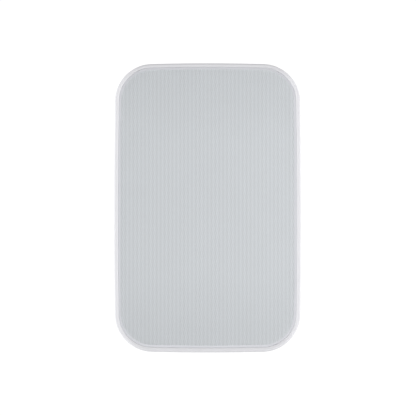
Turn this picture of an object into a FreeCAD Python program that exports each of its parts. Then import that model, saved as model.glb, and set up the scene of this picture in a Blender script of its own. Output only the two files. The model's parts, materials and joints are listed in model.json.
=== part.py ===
"""A weatherproof two-way garden speaker on its wall bracket, in millimetres.

+Z is up and the grille faces -Y. The origin is on the wall, at the middle of the bracket's back face, so a
distance from the wall is a distance along -Y. Every size is a cell of the Sizes sheet, and every piece is
tied to those cells.
"""

import FreeCAD, Part
import math
import os
from types import SimpleNamespace

import Sketcher
from FreeCAD import Placement, Rotation, Vector

SIZES = {
    # Front outline, measured across the rim
    "width": 197,
    "height": 305,
    "corner_radius": 39.6,
    "side_bow": 8800,
    "end_bow": 2300,
    # Clearance between separate pieces, and the running fit of a turning one
    "part_gap": 0.3,
    "running_gap": 0.05,
    # Cabinet shell, with depths measured back from the front of the rim
    "cabinet_depth": 185,
    "band_depth": 25,
    "waist_depth": 105,
    "waist_width": 166,
    "waist_height": 250,
    "waist_corner": 44,
    "rear_width": 120,
    "rear_height": 196,
    "rear_corner": 36,
    "rear_round": 7,
    "wall": 4,
    "rim_width": 4.4,
    "rim_outer_round": 2.2,
    "rim_crest": 0.8,
    "ledge_width": 6.5,
    # Baffle and its seal
    "baffle_setback": 12,
    "baffle_thickness": 10,
    "baffle_seal": 1,
    "rib_width": 2.5,
    "rib_height": 7,
    "baffle_boss_radius": 5.5,
    "baffle_boss_length": 22,
    "baffle_screw_inset": 22,
    "baffle_middle_screw_height": 38,
    # Grille and the cloth behind it
    "grille_setback": 0.6,
    "grille_sheet": 1,
    "grille_bend": 1.5,
    "slot_pitch": 4.12,
    "slot_width": 1.3,
    "slot_margin": 3,
    "scrim_thickness": 0.4,
    # Screws
    "screw_radius": 1.75,
    "screw_head_radius": 3.3,
    "screw_head_height": 2.2,
    "screw_crown_radius": 2.6,
    "screw_socket_radius": 1.3,
    "screw_socket_depth": 1.2,
    "baffle_screw_length": 24,
    "driver_screw_length": 12,
    "small_screw_length": 6,
    # Woofer, with heights measured forward from the baffle's face
    "woofer_drop": 52,
    "woofer_radius": 83,
    "woofer_cutout": 73.5,
    "flange_thickness": 4,
    "driver_seal": 1,
    "woofer_screw_circle": 77.5,
    "woofer_screws": 6,
    "basket_mouth": 71,
    "basket_throat": 65,
    "basket_wall": 3,
    "basket_sill": 2.5,
    "spider_seat_radius": 43,
    "spider_seat_inner": 36,
    "spider_seat_depth": 26,
    "basket_foot_radius": 37,
    "basket_foot_depth": 43,
    "basket_foot_bore": 20,
    "basket_window_outer": 61,
    "basket_window_inner": 48,
    "basket_window_half_angle": 20,
    "basket_windows": 6,
    "surround_skin": 1,
    "roll_middle": 59.5,
    "roll_radius": 7,
    "roll_sink": 1,
    "cone_rim_radius": 52.8,
    "cone_flat_radius": 49,
    "cone_neck_radius": 17,
    "cone_neck_depth": 21,
    "cone_neck_length": 3,
    "cone_skin": 1.5,
    "dust_cap_radius": 20,
    "dust_cap_rise": 6,
    "dust_cap_skin": 0.8,
    "former_radius": 15,
    "former_skin": 0.4,
    "coil_winding": 0.8,
    "coil_height": 14,
    "magnet_gap": 0.6,
    "top_plate_radius": 45,
    "top_plate_thickness": 6,
    "magnet_radius": 50,
    "magnet_bore": 24,
    "magnet_thickness": 18,
    "yoke_radius": 46,
    "yoke_thickness": 7,
    "pole_vent": 4,
    "spider_skin": 0.6,
    "spider_collar": 3.5,
    "spider_fold": 1.4,
    "spider_folds": 8,
    "tag_width": 16,
    "tag_thickness": 1.5,
    "tag_drop": 9,
    "tag_inset": 1,
    # Tweeter, with heights measured forward from the baffle's face
    "tweeter_rise": 84,
    "tweeter_radius": 44,
    "tweeter_cutout": 31.5,
    "tweeter_screw_circle": 38.5,
    "tweeter_screws": 4,
    "horn_mouth": 33,
    "horn_throat": 15,
    "horn_depth": 7,
    "horn_flare": 34,
    "tweeter_boss_radius": 30,
    "tweeter_boss_depth": 9,
    "dome_radius": 12.8,
    "dome_rise": 4.5,
    "dome_skin": 0.5,
    "dome_roll": 1.2,
    "tweeter_flange_radius": 28,
    "tweeter_coil_skin": 0.5,
    "tweeter_coil_height": 4,
    "tweeter_gap": 0.5,
    "tweeter_plate_thickness": 3,
    "tweeter_magnet_bore": 18,
    "tweeter_magnet_thickness": 10,
    "tweeter_yoke_radius": 29,
    "tweeter_yoke_thickness": 4.5,
    "tweeter_tag_width": 22,
    "tweeter_tag_height": 9,
    # Crossover board on the rear wall
    "board_width": 80,
    "board_height": 70,
    "board_thickness": 1.6,
    "board_corner": 2,
    "board_centre": 45,
    "board_stand": 8,
    "board_stand_radius": 4,
    "board_screw_inset": 5,
    "bobbin_radius": 17,
    "bobbin_core": 6,
    "bobbin_height": 20,
    "bobbin_winding_radius": 16,
    "bobbin_flange": 2,
    "bobbin_across": 18,
    "bobbin_up": 11,
    "air_coil_radius": 12,
    "air_coil_bore": 5,
    "air_coil_height": 12,
    "air_coil_across": 22,
    "air_coil_up": 18,
    "capacitor_radius": 7,
    "capacitor_round": 0.9,
    "capacitor_length": 32,
    "capacitor_across": 19,
    "capacitor_down": 17,
    "resistor_length": 38,
    "resistor_side": 9,
    "resistor_across": 19,
    "resistor_down": 3,
    # Terminal cup on the rear face
    "cup_drop": 40,
    "cup_width": 60,
    "cup_height": 40,
    "cup_depth": 27,
    "cup_wall": 2.5,
    "cup_corner": 6,
    "cup_flange": 3,
    "cup_flange_reach": 10,
    "cup_seal": 1,
    "cup_screw_inset": 5,
    "post_spacing": 19,
    "post_radius": 3.2,
    "post_length": 18,
    "post_collar_radius": 5.5,
    "post_collar_height": 2.5,
    "post_tail_radius": 2.2,
    "post_tail_length": 9,
    "plug_bore": 2,
    "plug_depth": 12,
    "cap_radius": 6.5,
    "cap_end": 2.2,
    "cap_mouth": 3,
    "nut_radius": 4.6,
    "nut_height": 2.5,
    # Leads inside the cabinet
    "lead_radius": 1,
    "lead_bend": 8,
    "input_lead_run": 16,
    "input_lead_landing": 5,
    "woofer_lead_across": 3.5,
    "woofer_lead_landing": 8,
    "woofer_lead_depth": 33,
    "tweeter_lead_across": 6,
    "tweeter_lead_landing": 6,
    # Pivots, knobs and wall bracket. A pad's height is how far its front edge stands proud of the cabinet.
    "pivot_standoff": 110,
    "pivot_depth": 105,
    "pad_height": 1.65,
    "pad_radius": 17,
    "pad_boss_depth": 24,
    "insert_radius": 6,
    "insert_length": 15,
    "stud_radius": 4,
    "stud_length": 22,
    "stud_hold": 8,
    "stud_hole_gap": 0.5,
    "washer_radius": 15,
    "washer_thickness": 1.5,
    "knob_radius": 14,
    "knob_height": 12,
    "knob_scallops": 8,
    "knob_scallop_radius": 4,
    "knob_scallop_bite": 1.6,
    "knob_round": 1.5,
    "bracket_sheet": 3,
    "bracket_bend": 4,
    "bracket_width": 64,
    "bracket_shoulder": 25,
    "arm_tip_radius": 18,
    "arm_tip_drop": 3,
    "window_width": 44,
    "window_height": 160,
    "window_corner": 8,
    "wall_hole_radius": 3.2,
    "wall_hole_across": 36,
    "wall_hole_up": 200,
}


class Size:
    """A number with the text that ties it to the sheet. Whatever is worked out from sizes stays tied."""

    def __init__(self, value, text):
        self.value = value
        self.text = text

    def __add__(self, other):
        other = as_size(other)
        return Size(self.value + other.value, f"({self.text} + {other.text})")

    def __sub__(self, other):
        other = as_size(other)
        return Size(self.value - other.value, f"({self.text} - {other.text})")

    def __mul__(self, other):
        other = as_size(other)
        return Size(self.value * other.value, f"({self.text} * {other.text})")

    def __truediv__(self, other):
        other = as_size(other)
        return Size(self.value / other.value, f"({self.text} / {other.text})")

    def __radd__(self, other):
        return as_size(other) + self

    def __rsub__(self, other):
        return as_size(other) - self

    def __rmul__(self, other):
        return as_size(other) * self

    def __pow__(self, power):
        return Size(self.value**power, f"({self.text}^{power})")

    def __neg__(self):
        return Size(-self.value, f"(0 - {self.text})")

    def __abs__(self):
        return Size(abs(self.value), f"abs({self.text})")


def as_size(length):
    """A Size as it is, or a plain number as one that is tied to nothing."""
    return length if isinstance(length, Size) else Size(length, f"({length})")


def root(length):
    return Size(math.sqrt(length.value), f"sqrt({length.text})")


def sine(degrees):
    return Size(math.sin(math.radians(degrees.value)), f"sin({degrees.text} * 1 deg)")


def cosine(degrees):
    return Size(math.cos(math.radians(degrees.value)), f"cos({degrees.text} * 1 deg)")


S = SimpleNamespace(**{name: Size(value, f"Sizes.{name}") for name, value in SIZES.items()})

# Places that several pieces share
REACH = S.pivot_standoff + S.pivot_depth
BAFFLE_FACE = REACH - S.baffle_setback
LEDGE = S.baffle_setback + S.baffle_thickness + S.baffle_seal
REAR_FACE = REACH - S.cabinet_depth
BOARD_BACK = REAR_FACE + S.wall + S.board_stand
BOARD_FRONT = BOARD_BACK + S.board_thickness
CUP_FACE = REAR_FACE - S.cup_seal - S.cup_flange
CUP_FLOOR = CUP_FACE + S.cup_depth
CUP_FLANGE_WIDTH = S.cup_width + 2 * S.cup_wall + 2 * S.cup_flange_reach
CUP_FLANGE_HEIGHT = S.cup_height + 2 * S.cup_wall + 2 * S.cup_flange_reach
TAPER = (S.height - S.waist_height) / (2 * (S.waist_depth - S.band_depth))
PAD_FRONT = S.pivot_depth - S.pad_radius
PAD_FACE = S.height / 2 - TAPER * (PAD_FRONT - S.band_depth) + S.pad_height
ARM_INSIDE = PAD_FACE + S.washer_thickness + S.part_gap
ARM_OUTSIDE = ARM_INSIDE + S.bracket_sheet
KNOB_BASE = ARM_OUTSIDE + S.part_gap
GRILLE_INSET = S.rim_width + S.part_gap
RIB_INSET = GRILLE_INSET + S.grille_sheet + S.part_gap
RECESS = S.flange_thickness + S.driver_seal
FORMER_OUTSIDE = S.former_radius + S.former_skin
COIL_OUTSIDE = FORMER_OUTSIDE + S.coil_winding
POLE_RADIUS = S.former_radius - S.magnet_gap
PLATE_BACK = S.basket_foot_depth + S.top_plate_thickness
MAGNET_BACK = PLATE_BACK + S.magnet_thickness
DOME_SEAT = S.tweeter_boss_depth + S.dome_skin
TWEETER_COIL_OUTSIDE = S.dome_radius - S.dome_skin / 2
TWEETER_MAGNET_BACK = DOME_SEAT + S.tweeter_plate_thickness + S.tweeter_magnet_thickness
TWEETER_BACK = TWEETER_MAGNET_BACK + S.tweeter_yoke_thickness
TWEETER_LANDING = S.board_centre + S.board_height / 2 - S.tweeter_lead_landing
TAG_TOP = S.spider_seat_inner + S.basket_wall + S.tag_inset + S.tag_thickness - S.woofer_drop

# Outlines by their width, height and corner radius
FRONT = (S.width, S.height, S.corner_radius)
WAIST = (S.waist_width, S.waist_height, S.waist_corner)
REAR = (S.rear_width, S.rear_height, S.rear_corner)

FORWARD = Rotation(Vector(0, 0, 1), 180)
UPRIGHT = Rotation()
SLACK = 1e-4

doc = FreeCAD.newDocument("garden_speaker")
sheet = doc.addObject("Spreadsheet::Sheet", "Sizes")
pieces = []


def fill_sheet():
    """Write the driving dimensions, one row each: name, number."""
    for row, (name, value) in enumerate(SIZES.items(), start=1):
        sheet.set(f"A{row}", name)
        sheet.set(f"B{row}", str(value))
        sheet.setAlias(f"B{row}", name)
    doc.recompute()


def number(length):
    """What a length comes to now."""
    return as_size(length).value


def bind(item, **lengths):
    """Tie properties of an object to the sheet. Two underscores stand for a dot."""
    for name, length in lengths.items():
        item.setExpression(name.replace("__", "."), as_size(length).text)
    return item


def place(item, across=0, standoff=0, up=0, turn=UPRIGHT):
    """Set an object's place from the sheet: across along X, standoff from the wall, up along Z."""
    item.Placement = Placement(Vector(), turn)
    forward = -as_size(standoff)
    return bind(item, Placement__Base__x=across, Placement__Base__y=forward, Placement__Base__z=up)


def keep(item, label):
    """Name a finished piece and list it for export."""
    item.Label = label
    pieces.append(item)
    return item


# Sketches


def new_body(name):
    return doc.addObject("PartDesign::Body", name)


def origin_feature(body, role):
    return next(f for f in body.Origin.OriginFeatures if f.Role == role)


def new_sketch(body, role="XZ_Plane", offset=0):
    """A sketch on one of the body's own planes. On XZ_Plane offset is a distance along -Y."""
    sketch = body.newObject("Sketcher::SketchObject", body.Name + "_sketch")
    sketch.AttachmentSupport = (origin_feature(body, role), [""])
    sketch.MapMode = "FlatFace"
    return bind(sketch, AttachmentOffset__Base__z=offset)


def tie(sketch, kind, where, length):
    """Add a driving dimension to a sketch and tie it to the sheet."""
    index = sketch.addConstraint(Sketcher.Constraint(kind, *where, number(length)))
    sketch.setExpression(f"Constraints[{index}]", as_size(length).text)


def tie_point(sketch, edge, end, across, along):
    """Fix a point of a sketch, measured from the sketch's origin. A plain 0 puts it on the axis."""
    for kind, length, axis in (("DistanceX", across, -2), ("DistanceY", along, -1)):
        if isinstance(length, Size):
            tie(sketch, kind, (-1, 1, edge, end), length)
        else:
            sketch.addConstraint(Sketcher.Constraint("PointOnObject", edge, end, axis))


def spot(across, along):
    return Vector(number(across), number(along), 0)


def bent_edge(start, finish, radius):
    """The short arc between two points. A positive radius turns left on the way, a negative one right."""
    chord = finish - start
    left = Vector(-chord.y, chord.x, 0).normalize() * math.copysign(1, radius)
    height = math.sqrt(max(radius * radius - chord.Length**2 / 4, 0))
    middle = (start + finish) / 2 + left * (height - abs(radius))
    return Part.Arc(start, middle, finish)


def draw_edge(sketch, start, finish, radius=None):
    """One line, or one arc as bent_edge says. Returns its number and its ends in the order of travel."""
    path = Part.LineSegment(start, finish) if radius is None else bent_edge(start, finish, number(radius))
    edge = sketch.addGeometry(path, False)
    if radius is not None:
        tie(sketch, "Radius", (edge,), abs(radius))
    forwards = (sketch.getPoint(edge, 1) - start).Length < (sketch.getPoint(edge, 2) - start).Length
    return (edge, 1, 2) if forwards else (edge, 2, 1)


def draw_chain(sketch, corners, closed):
    """Edges through corners, each (across, along) or (across, along, radius).

    A radius makes the edge that arrives at that corner an arc.
    """
    spots = [spot(*corner[:2]) for corner in corners]
    first = 0 if closed else 1
    edges = [draw_edge(sketch, spots[i - 1], spots[i], *corners[i][2:]) for i in range(first, len(corners))]
    for (edge, _, end), corner in zip(edges, corners[first:]):
        tie_point(sketch, edge, end, *corner[:2])
    for (edge, _, end), (following, start, _) in zip(edges, edges[1:] + edges[:1] * closed):
        sketch.addConstraint(Sketcher.Constraint("Coincident", edge, end, following, start))
    if not closed:
        tie_point(sketch, edges[0][0], edges[0][1], *corners[0][:2])


def draw_loop(sketch, corners):
    draw_chain(sketch, corners, closed=True)


def draw_circle(sketch, radius, across=0, along=0):
    edge = sketch.addGeometry(Part.Circle(spot(across, along), Vector(0, 0, 1), number(radius)), False)
    tie_point(sketch, edge, 3, across, along)
    tie(sketch, "Radius", (edge,), radius)


def draw_rounded_box(sketch, width, height, radius, along=0):
    """A rectangle with round corners, centred on the sketch's upright axis."""
    half = width / 2
    low, high = along - height / 2, along + height / 2
    draw_loop(
        sketch,
        [
            (half - radius, low),
            (half, low + radius, radius),
            (half, high - radius),
            (half - radius, high, radius),
            (radius - half, high),
            (-half, high - radius, radius),
            (-half, low + radius),
            (radius - half, low, radius),
        ],
    )


def corner_centre(width, height, corner):
    """Where the corner arc of a bowed outline is centred, and the two angles where it meets the sides."""
    side = spot(width / 2 - S.side_bow, 0)
    end = spot(0, height / 2 - S.end_bow)
    side_reach = number(S.side_bow - corner)
    end_reach = number(S.end_bow - corner)
    apart = end - side
    along = (apart.Length**2 + side_reach**2 - end_reach**2) / (2 * apart.Length)
    off = math.sqrt(side_reach**2 - along**2)
    unit = apart.normalize()
    foot, square = side + unit * along, Vector(-unit.y, unit.x, 0) * off
    centre = max(foot + square, foot - square, key=lambda point: point.x + point.y)
    side_angle = math.atan2(centre.y, centre.x - side.x)
    end_angle = math.atan2(centre.y - end.y, centre.x)
    return centre, side_angle, end_angle


def draw_outline(sketch, inset=0, shape=FRONT):
    """A tall box outline with slightly bowed sides and round corners, stepped in from the shape's edge."""
    width, height, corner = shape
    centre, low, high = corner_centre(*shape)
    side_x, end_y = width / 2 - S.side_bow, height / 2 - S.end_bow
    half_turn = math.pi
    arcs = [
        (spot(side_x, 0), S.side_bow, -low, low),
        (centre, corner, low, high),
        (spot(0, end_y), S.end_bow, high, half_turn - high),
        (Vector(-centre.x, centre.y, 0), corner, half_turn - high, half_turn - low),
        (spot(-side_x, 0), S.side_bow, half_turn - low, half_turn + low),
        (Vector(-centre.x, -centre.y, 0), corner, half_turn + low, half_turn + high),
        (spot(0, -end_y), S.end_bow, half_turn + high, 2 * half_turn - high),
        (Vector(centre.x, -centre.y, 0), corner, 2 * half_turn - high, 2 * half_turn - low),
    ]
    edges = []
    for middle, radius, start, finish in arcs:
        circle = Part.Circle(middle, Vector(0, 0, 1), number(radius - inset))
        edges.append(sketch.addGeometry(Part.ArcOfCircle(circle, start, finish), False))
    for edge, following in zip(edges, edges[1:] + edges[:1]):
        sketch.addConstraint(Sketcher.Constraint("Tangent", edge, 2, following, 1))
    for edge, (_, radius, _, _) in zip(edges, arcs):
        tie(sketch, "Radius", (edge,), radius - inset)
    for edge, across, along in ((0, side_x, 0), (2, 0, end_y), (4, -side_x, 0), (6, 0, -end_y)):
        tie_point(sketch, edges[edge], 3, across, along)


# Features


def add_feature(body, kind, sketch, length=None, reverse=False):
    feature = body.newObject("PartDesign::" + kind, f"{body.Name}_{kind.lower()}")
    feature.Profile = sketch
    if length is not None:
        bind(feature, Length=length)
        feature.Reversed = reverse
    doc.recompute()
    return feature


def pad(body, sketch, length, reverse=False):
    return add_feature(body, "Pad", sketch, length, reverse)


def cut(body, sketch, length, reverse=False):
    """A pocket that has to take something away."""
    before = body.Shape.Volume
    feature = add_feature(body, "Pocket", sketch, length, reverse)
    if body.Shape.Volume > before - SLACK:
        raise RuntimeError(f"{feature.Name} cuts nothing")
    return feature


def loft(body, kind, sketches):
    feature = body.newObject("PartDesign::" + kind, f"{body.Name}_loft")
    feature.Profile = sketches[0]
    feature.Sections = sketches[1:]
    doc.recompute()
    return feature


def round_edges(body, radius, wanted):
    """Fillet the edges of the body's shape that the test wanted picks."""
    base = body.Tip
    names = [f"Edge{i}" for i, edge in enumerate(base.Shape.Edges, start=1) if wanted(edge)]
    feature = body.newObject("PartDesign::Fillet", f"{body.Name}_fillet")
    feature.Base = (base, names)
    bind(feature, Radius=radius)
    doc.recompute()
    return feature


def at_standoff(edge, standoff):
    """True if the whole edge lies at one distance from the wall."""
    box = edge.BoundBox
    return max(abs(box.YMin + number(standoff)), abs(box.YMax + number(standoff))) < SLACK


def turned_body(name, corners):
    """A body turned about its own Y axis from a profile of (radius, height) corners."""
    body = new_body(name)
    sketch = new_sketch(body, "XY_Plane")
    draw_loop(sketch, corners)
    feature = body.newObject("PartDesign::Revolution", name + "_turn")
    feature.Profile = sketch
    feature.ReferenceAxis = (sketch, ["V_Axis"])
    feature.Angle = 360
    doc.recompute()
    return body


def ring(inner, outer, low, high):
    """The profile of a plain ring."""
    return [(inner, low), (outer, low), (outer, high), (inner, high)]


def spread(label, pattern, spots, turn=UPRIGHT):
    """One node of separate solids: copies of a pattern piece at (across, standoff, up) spots."""
    copies = []
    for where in spots:
        copy = doc.addObject("App::Link", label + "_copy")
        copy.LinkedObject = pattern
        copies.append(place(copy, *where, turn=turn))
    group = doc.addObject("Part::Compound", label)
    group.Links = copies
    doc.recompute()
    return keep(group, label)


def circle_spots(count, radius, centre, standoff):
    """Spots evenly round a driver's axis, half a step off upright."""
    steps = int(number(count))
    turns = [2 * math.pi * (i + 0.5) / steps for i in range(steps)]
    ways = [(whole(math.sin(turn)), whole(math.cos(turn))) for turn in turns]
    return [(radius * across, standoff, centre + radius * up) for across, up in ways]


def whole(ratio):
    """A sine or cosine without the last digits, so that a quarter turn comes out whole."""
    return round(ratio, 9)


def box_spots(half_width, half_height, standoff, centre=0):
    """Spots at the four corners of an upright rectangle."""
    return [
        (x * half_width, standoff, centre + z * half_height)
        for x in (-1, 1)
        for z in (-1, 1)
    ]


# Cabinet, baffle and grille


def baffle_screw_spots(standoff):
    """Four screws in the corners and one halfway up each side."""
    inset = S.baffle_screw_inset
    spots = box_spots(S.width / 2 - inset, S.height / 2 - inset, standoff)
    middle = S.width / 2 - S.rim_width - S.ledge_width - S.baffle_boss_radius / 2
    return spots + [(side * middle, standoff, S.baffle_middle_screw_height) for side in (-1, 1)]


def board_screw_spots(standoff):
    inset = S.board_screw_inset
    return box_spots(S.board_width / 2 - inset, S.board_height / 2 - inset, standoff, S.board_centre)


def cup_screw_spots(standoff):
    inset = S.cup_screw_inset
    return box_spots(CUP_FLANGE_WIDTH / 2 - inset, CUP_FLANGE_HEIGHT / 2 - inset, standoff, -S.cup_drop)


def draw_spots(sketch, radius, spots):
    for across, _, up in spots:
        draw_circle(sketch, radius, across, up)


def build_rear_cabinet():
    """The moulded shell: rim, straight band, tapered body, screw bosses and pivot bosses."""
    body = new_body("rear_cabinet")
    front = new_sketch(body, offset=REACH)
    draw_outline(front)
    pad(body, front, S.band_depth, reverse=True)
    sections = []
    for depth, shape in ((S.band_depth, FRONT), (S.waist_depth, WAIST), (S.cabinet_depth, REAR)):
        section = new_sketch(body, offset=REACH - depth)
        draw_outline(section, shape=shape)
        sections.append(section)
    loft(body, "AdditiveLoft", sections)
    round_edges(body, S.rim_outer_round, lambda edge: at_standoff(edge, REACH))
    round_edges(body, S.rear_round, lambda edge: at_standoff(edge, REAR_FACE))

    recess = new_sketch(body, offset=REACH)
    draw_outline(recess, S.rim_width)
    cut(body, recess, LEDGE)
    hollow = []
    for depth, inset, shape in (
        (LEDGE, S.rim_width + S.ledge_width, FRONT),
        (S.waist_depth, S.wall, WAIST),
        (S.cabinet_depth - S.wall, S.wall, REAR),
    ):
        section = new_sketch(body, offset=REACH - depth)
        draw_outline(section, inset, shape)
        hollow.append(section)
    loft(body, "SubtractiveLoft", hollow)
    inner_round = S.rim_width - S.rim_outer_round - S.rim_crest
    round_edges(body, inner_round, lambda edge: at_standoff(edge, REACH) and bounds_recess(edge))
    add_cabinet_bosses(body)
    add_pivot_bosses(body)
    cut_terminal_opening(body)
    keep(body, "rear_cabinet")


def bounds_recess(edge):
    """True for an edge of the loop that bounds the front recess."""
    box = edge.BoundBox
    half_width, half_height = number(S.width / 2 - S.rim_width), number(S.height / 2 - S.rim_width)
    return max(-box.XMin, box.XMax) < half_width + SLACK and max(-box.ZMin, box.ZMax) < half_height + SLACK


def add_cabinet_bosses(body):
    """Bosses for the baffle's screws on the ledge, and stands for the board on the rear wall."""
    spots = baffle_screw_spots(0)
    bosses = new_sketch(body, offset=REACH - LEDGE)
    draw_spots(bosses, S.baffle_boss_radius, spots)
    pad(body, bosses, S.baffle_boss_length, reverse=True)
    pilots = new_sketch(body, offset=REACH - LEDGE)
    draw_spots(pilots, S.screw_radius + S.running_gap, spots)
    cut(body, pilots, S.baffle_screw_length - S.baffle_thickness - S.baffle_seal + S.part_gap)

    stands = new_sketch(body, offset=REAR_FACE + S.wall)
    draw_spots(stands, S.board_stand_radius, board_screw_spots(0))
    pad(body, stands, S.board_stand)
    holes = new_sketch(body, offset=BOARD_BACK)
    draw_spots(holes, S.screw_radius + S.running_gap, board_screw_spots(0))
    cut(body, holes, S.small_screw_length - S.board_thickness + S.part_gap)


def add_pivot_bosses(body):
    """Round pads above and below for the bracket, each with a blind seat for its threaded insert."""
    for side, downwards in ((1, True), (-1, False)):
        height = side * PAD_FACE
        disc = new_sketch(body, "XY_Plane", height)
        draw_circle(disc, S.pad_radius, 0, -S.pivot_standoff)
        pad(body, disc, S.pad_boss_depth, reverse=downwards)
        for radius, depth in (
            (S.insert_radius, S.insert_length),
            (S.stud_radius + S.stud_hole_gap, S.stud_length - S.washer_thickness - S.bracket_sheet),
        ):
            hole = new_sketch(body, "XY_Plane", height)
            draw_circle(hole, radius, 0, -S.pivot_standoff)
            cut(body, hole, depth, reverse=not downwards)


def cut_terminal_opening(body):
    """The opening for the terminal cup, and its four screw holes, through the rear wall."""
    opening = new_sketch(body, offset=REAR_FACE)
    width = S.cup_width + 2 * S.cup_wall + 2 * S.part_gap
    height = S.cup_height + 2 * S.cup_wall + 2 * S.part_gap
    draw_rounded_box(opening, width, height, S.cup_corner + S.cup_wall, -S.cup_drop)
    cut(body, opening, S.wall + S.board_stand, reverse=True)
    holes = new_sketch(body, offset=REAR_FACE)
    draw_spots(holes, S.screw_radius + S.running_gap, cup_screw_spots(0))
    cut(body, holes, S.wall, reverse=True)


def build_baffle():
    """The plate that carries both drivers, with a rib that backs the grille's skirt."""
    body = new_body("front_baffle")
    plate = new_sketch(body, offset=BAFFLE_FACE)
    draw_outline(plate, GRILLE_INSET)
    pad(body, plate, S.baffle_thickness, reverse=True)
    rib = new_sketch(body, offset=BAFFLE_FACE)
    draw_outline(rib, RIB_INSET)
    draw_outline(rib, RIB_INSET + S.rib_width)
    pad(body, rib, S.rib_height)
    seats = new_sketch(body, offset=BAFFLE_FACE)
    draw_circle(seats, S.woofer_radius + S.part_gap, 0, -S.woofer_drop)
    draw_circle(seats, S.tweeter_radius + S.part_gap, 0, S.tweeter_rise)
    cut(body, seats, RECESS)
    throats = new_sketch(body, offset=BAFFLE_FACE)
    draw_circle(throats, S.woofer_cutout, 0, -S.woofer_drop)
    draw_circle(throats, S.tweeter_cutout, 0, S.tweeter_rise)
    cut(body, throats, S.baffle_thickness)
    holes = new_sketch(body, offset=BAFFLE_FACE)
    for spots in (woofer_screw_spots(0), tweeter_screw_spots(0), baffle_screw_spots(0)):
        draw_spots(holes, S.screw_radius + S.running_gap, spots)
    cut(body, holes, S.baffle_thickness)
    keep(body, "front_baffle")

    seal = new_body("baffle_seal")
    band = new_sketch(seal, offset=REACH - LEDGE)
    draw_outline(band, GRILLE_INSET)
    draw_outline(band, S.rim_width + S.ledge_width)
    pad(seal, band, S.baffle_seal)
    keep(seal, "baffle_seal")


def build_grille():
    """A pressed pan with fine upright slots, and the cloth behind it."""
    pan = new_body("grille_pan")
    face = new_sketch(pan, offset=REACH - S.grille_setback)
    draw_outline(face, GRILLE_INSET)
    pad(pan, face, S.baffle_setback - S.grille_setback - S.part_gap, reverse=True)
    round_edges(pan, S.grille_bend, lambda edge: at_standoff(edge, REACH - S.grille_setback))
    inside = new_sketch(pan, offset=BAFFLE_FACE + S.part_gap)
    draw_outline(inside, GRILLE_INSET + S.grille_sheet)
    cut(pan, inside, S.baffle_setback - S.grille_setback - S.part_gap - S.grille_sheet, reverse=True)

    field = new_body("grille_field")
    field_edge = new_sketch(field, offset=BAFFLE_FACE + S.part_gap)
    draw_outline(field_edge, GRILLE_INSET + S.grille_sheet + S.slot_margin)
    pad(field, field_edge, S.baffle_setback)
    side_columns = int(number((S.width / 2 - GRILLE_INSET - S.grille_sheet - S.slot_margin) / S.slot_pitch))
    slots = []
    for column in range(-side_columns, side_columns + 1):
        slot = doc.addObject("Part::Box", "grille_slot")
        bind(slot, Length=S.slot_width, Width=S.baffle_setback, Height=S.height)
        slots.append(place(slot, column * S.slot_pitch - S.slot_width / 2, REACH, -S.height / 2))
    columns = doc.addObject("Part::Compound", "grille_columns")
    columns.Links = slots
    trimmed = doc.addObject("Part::Common", "grille_slots")
    trimmed.Base, trimmed.Tool = columns, field
    grille = doc.addObject("Part::Cut", "grille")
    grille.Base, grille.Tool = pan, trimmed
    doc.recompute()
    keep(grille, "grille")

    scrim = new_body("grille_scrim")
    cloth = new_sketch(scrim, offset=REACH - S.grille_setback - S.grille_sheet)
    draw_outline(cloth, GRILLE_INSET + S.grille_sheet + S.part_gap)
    pad(scrim, cloth, S.scrim_thickness, reverse=True)
    keep(scrim, "grille_scrim")


# Fasteners


def screw_pattern(name, length):
    """A pan-head screw whose head sits in front of its own origin, with a round drive socket."""
    head = S.screw_head_height
    return turned_body(
        name,
        [
            (0, -length),
            (S.screw_radius, -length),
            (S.screw_radius, 0),
            (S.screw_head_radius, 0),
            (S.screw_head_radius, head / 2),
            (S.screw_crown_radius, head),
            (S.screw_socket_radius, head),
            (S.screw_socket_radius, head - S.screw_socket_depth),
            (0, head - S.screw_socket_depth),
        ],
    )


def woofer_screw_spots(standoff):
    return circle_spots(S.woofer_screws, S.woofer_screw_circle, -S.woofer_drop, standoff)


def tweeter_screw_spots(standoff):
    return circle_spots(S.tweeter_screws, S.tweeter_screw_circle, S.tweeter_rise, standoff)


def build_screws():
    baffle_screw = screw_pattern("baffle_screw", S.baffle_screw_length)
    driver_screw = screw_pattern("driver_screw", S.driver_screw_length)
    small_screw = screw_pattern("small_screw", S.small_screw_length)
    spread("baffle_screws", baffle_screw, baffle_screw_spots(BAFFLE_FACE), FORWARD)
    spread("woofer_screws", driver_screw, woofer_screw_spots(BAFFLE_FACE), FORWARD)
    spread("tweeter_screws", driver_screw, tweeter_screw_spots(BAFFLE_FACE), FORWARD)
    spread("board_screws", small_screw, board_screw_spots(BOARD_FRONT), FORWARD)
    spread("terminal_screws", small_screw, cup_screw_spots(CUP_FACE))


# Woofer


def woofer_part(label, corners):
    return keep(place(turned_body(label, corners), 0, BAFFLE_FACE, -S.woofer_drop, FORWARD), label)


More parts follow.
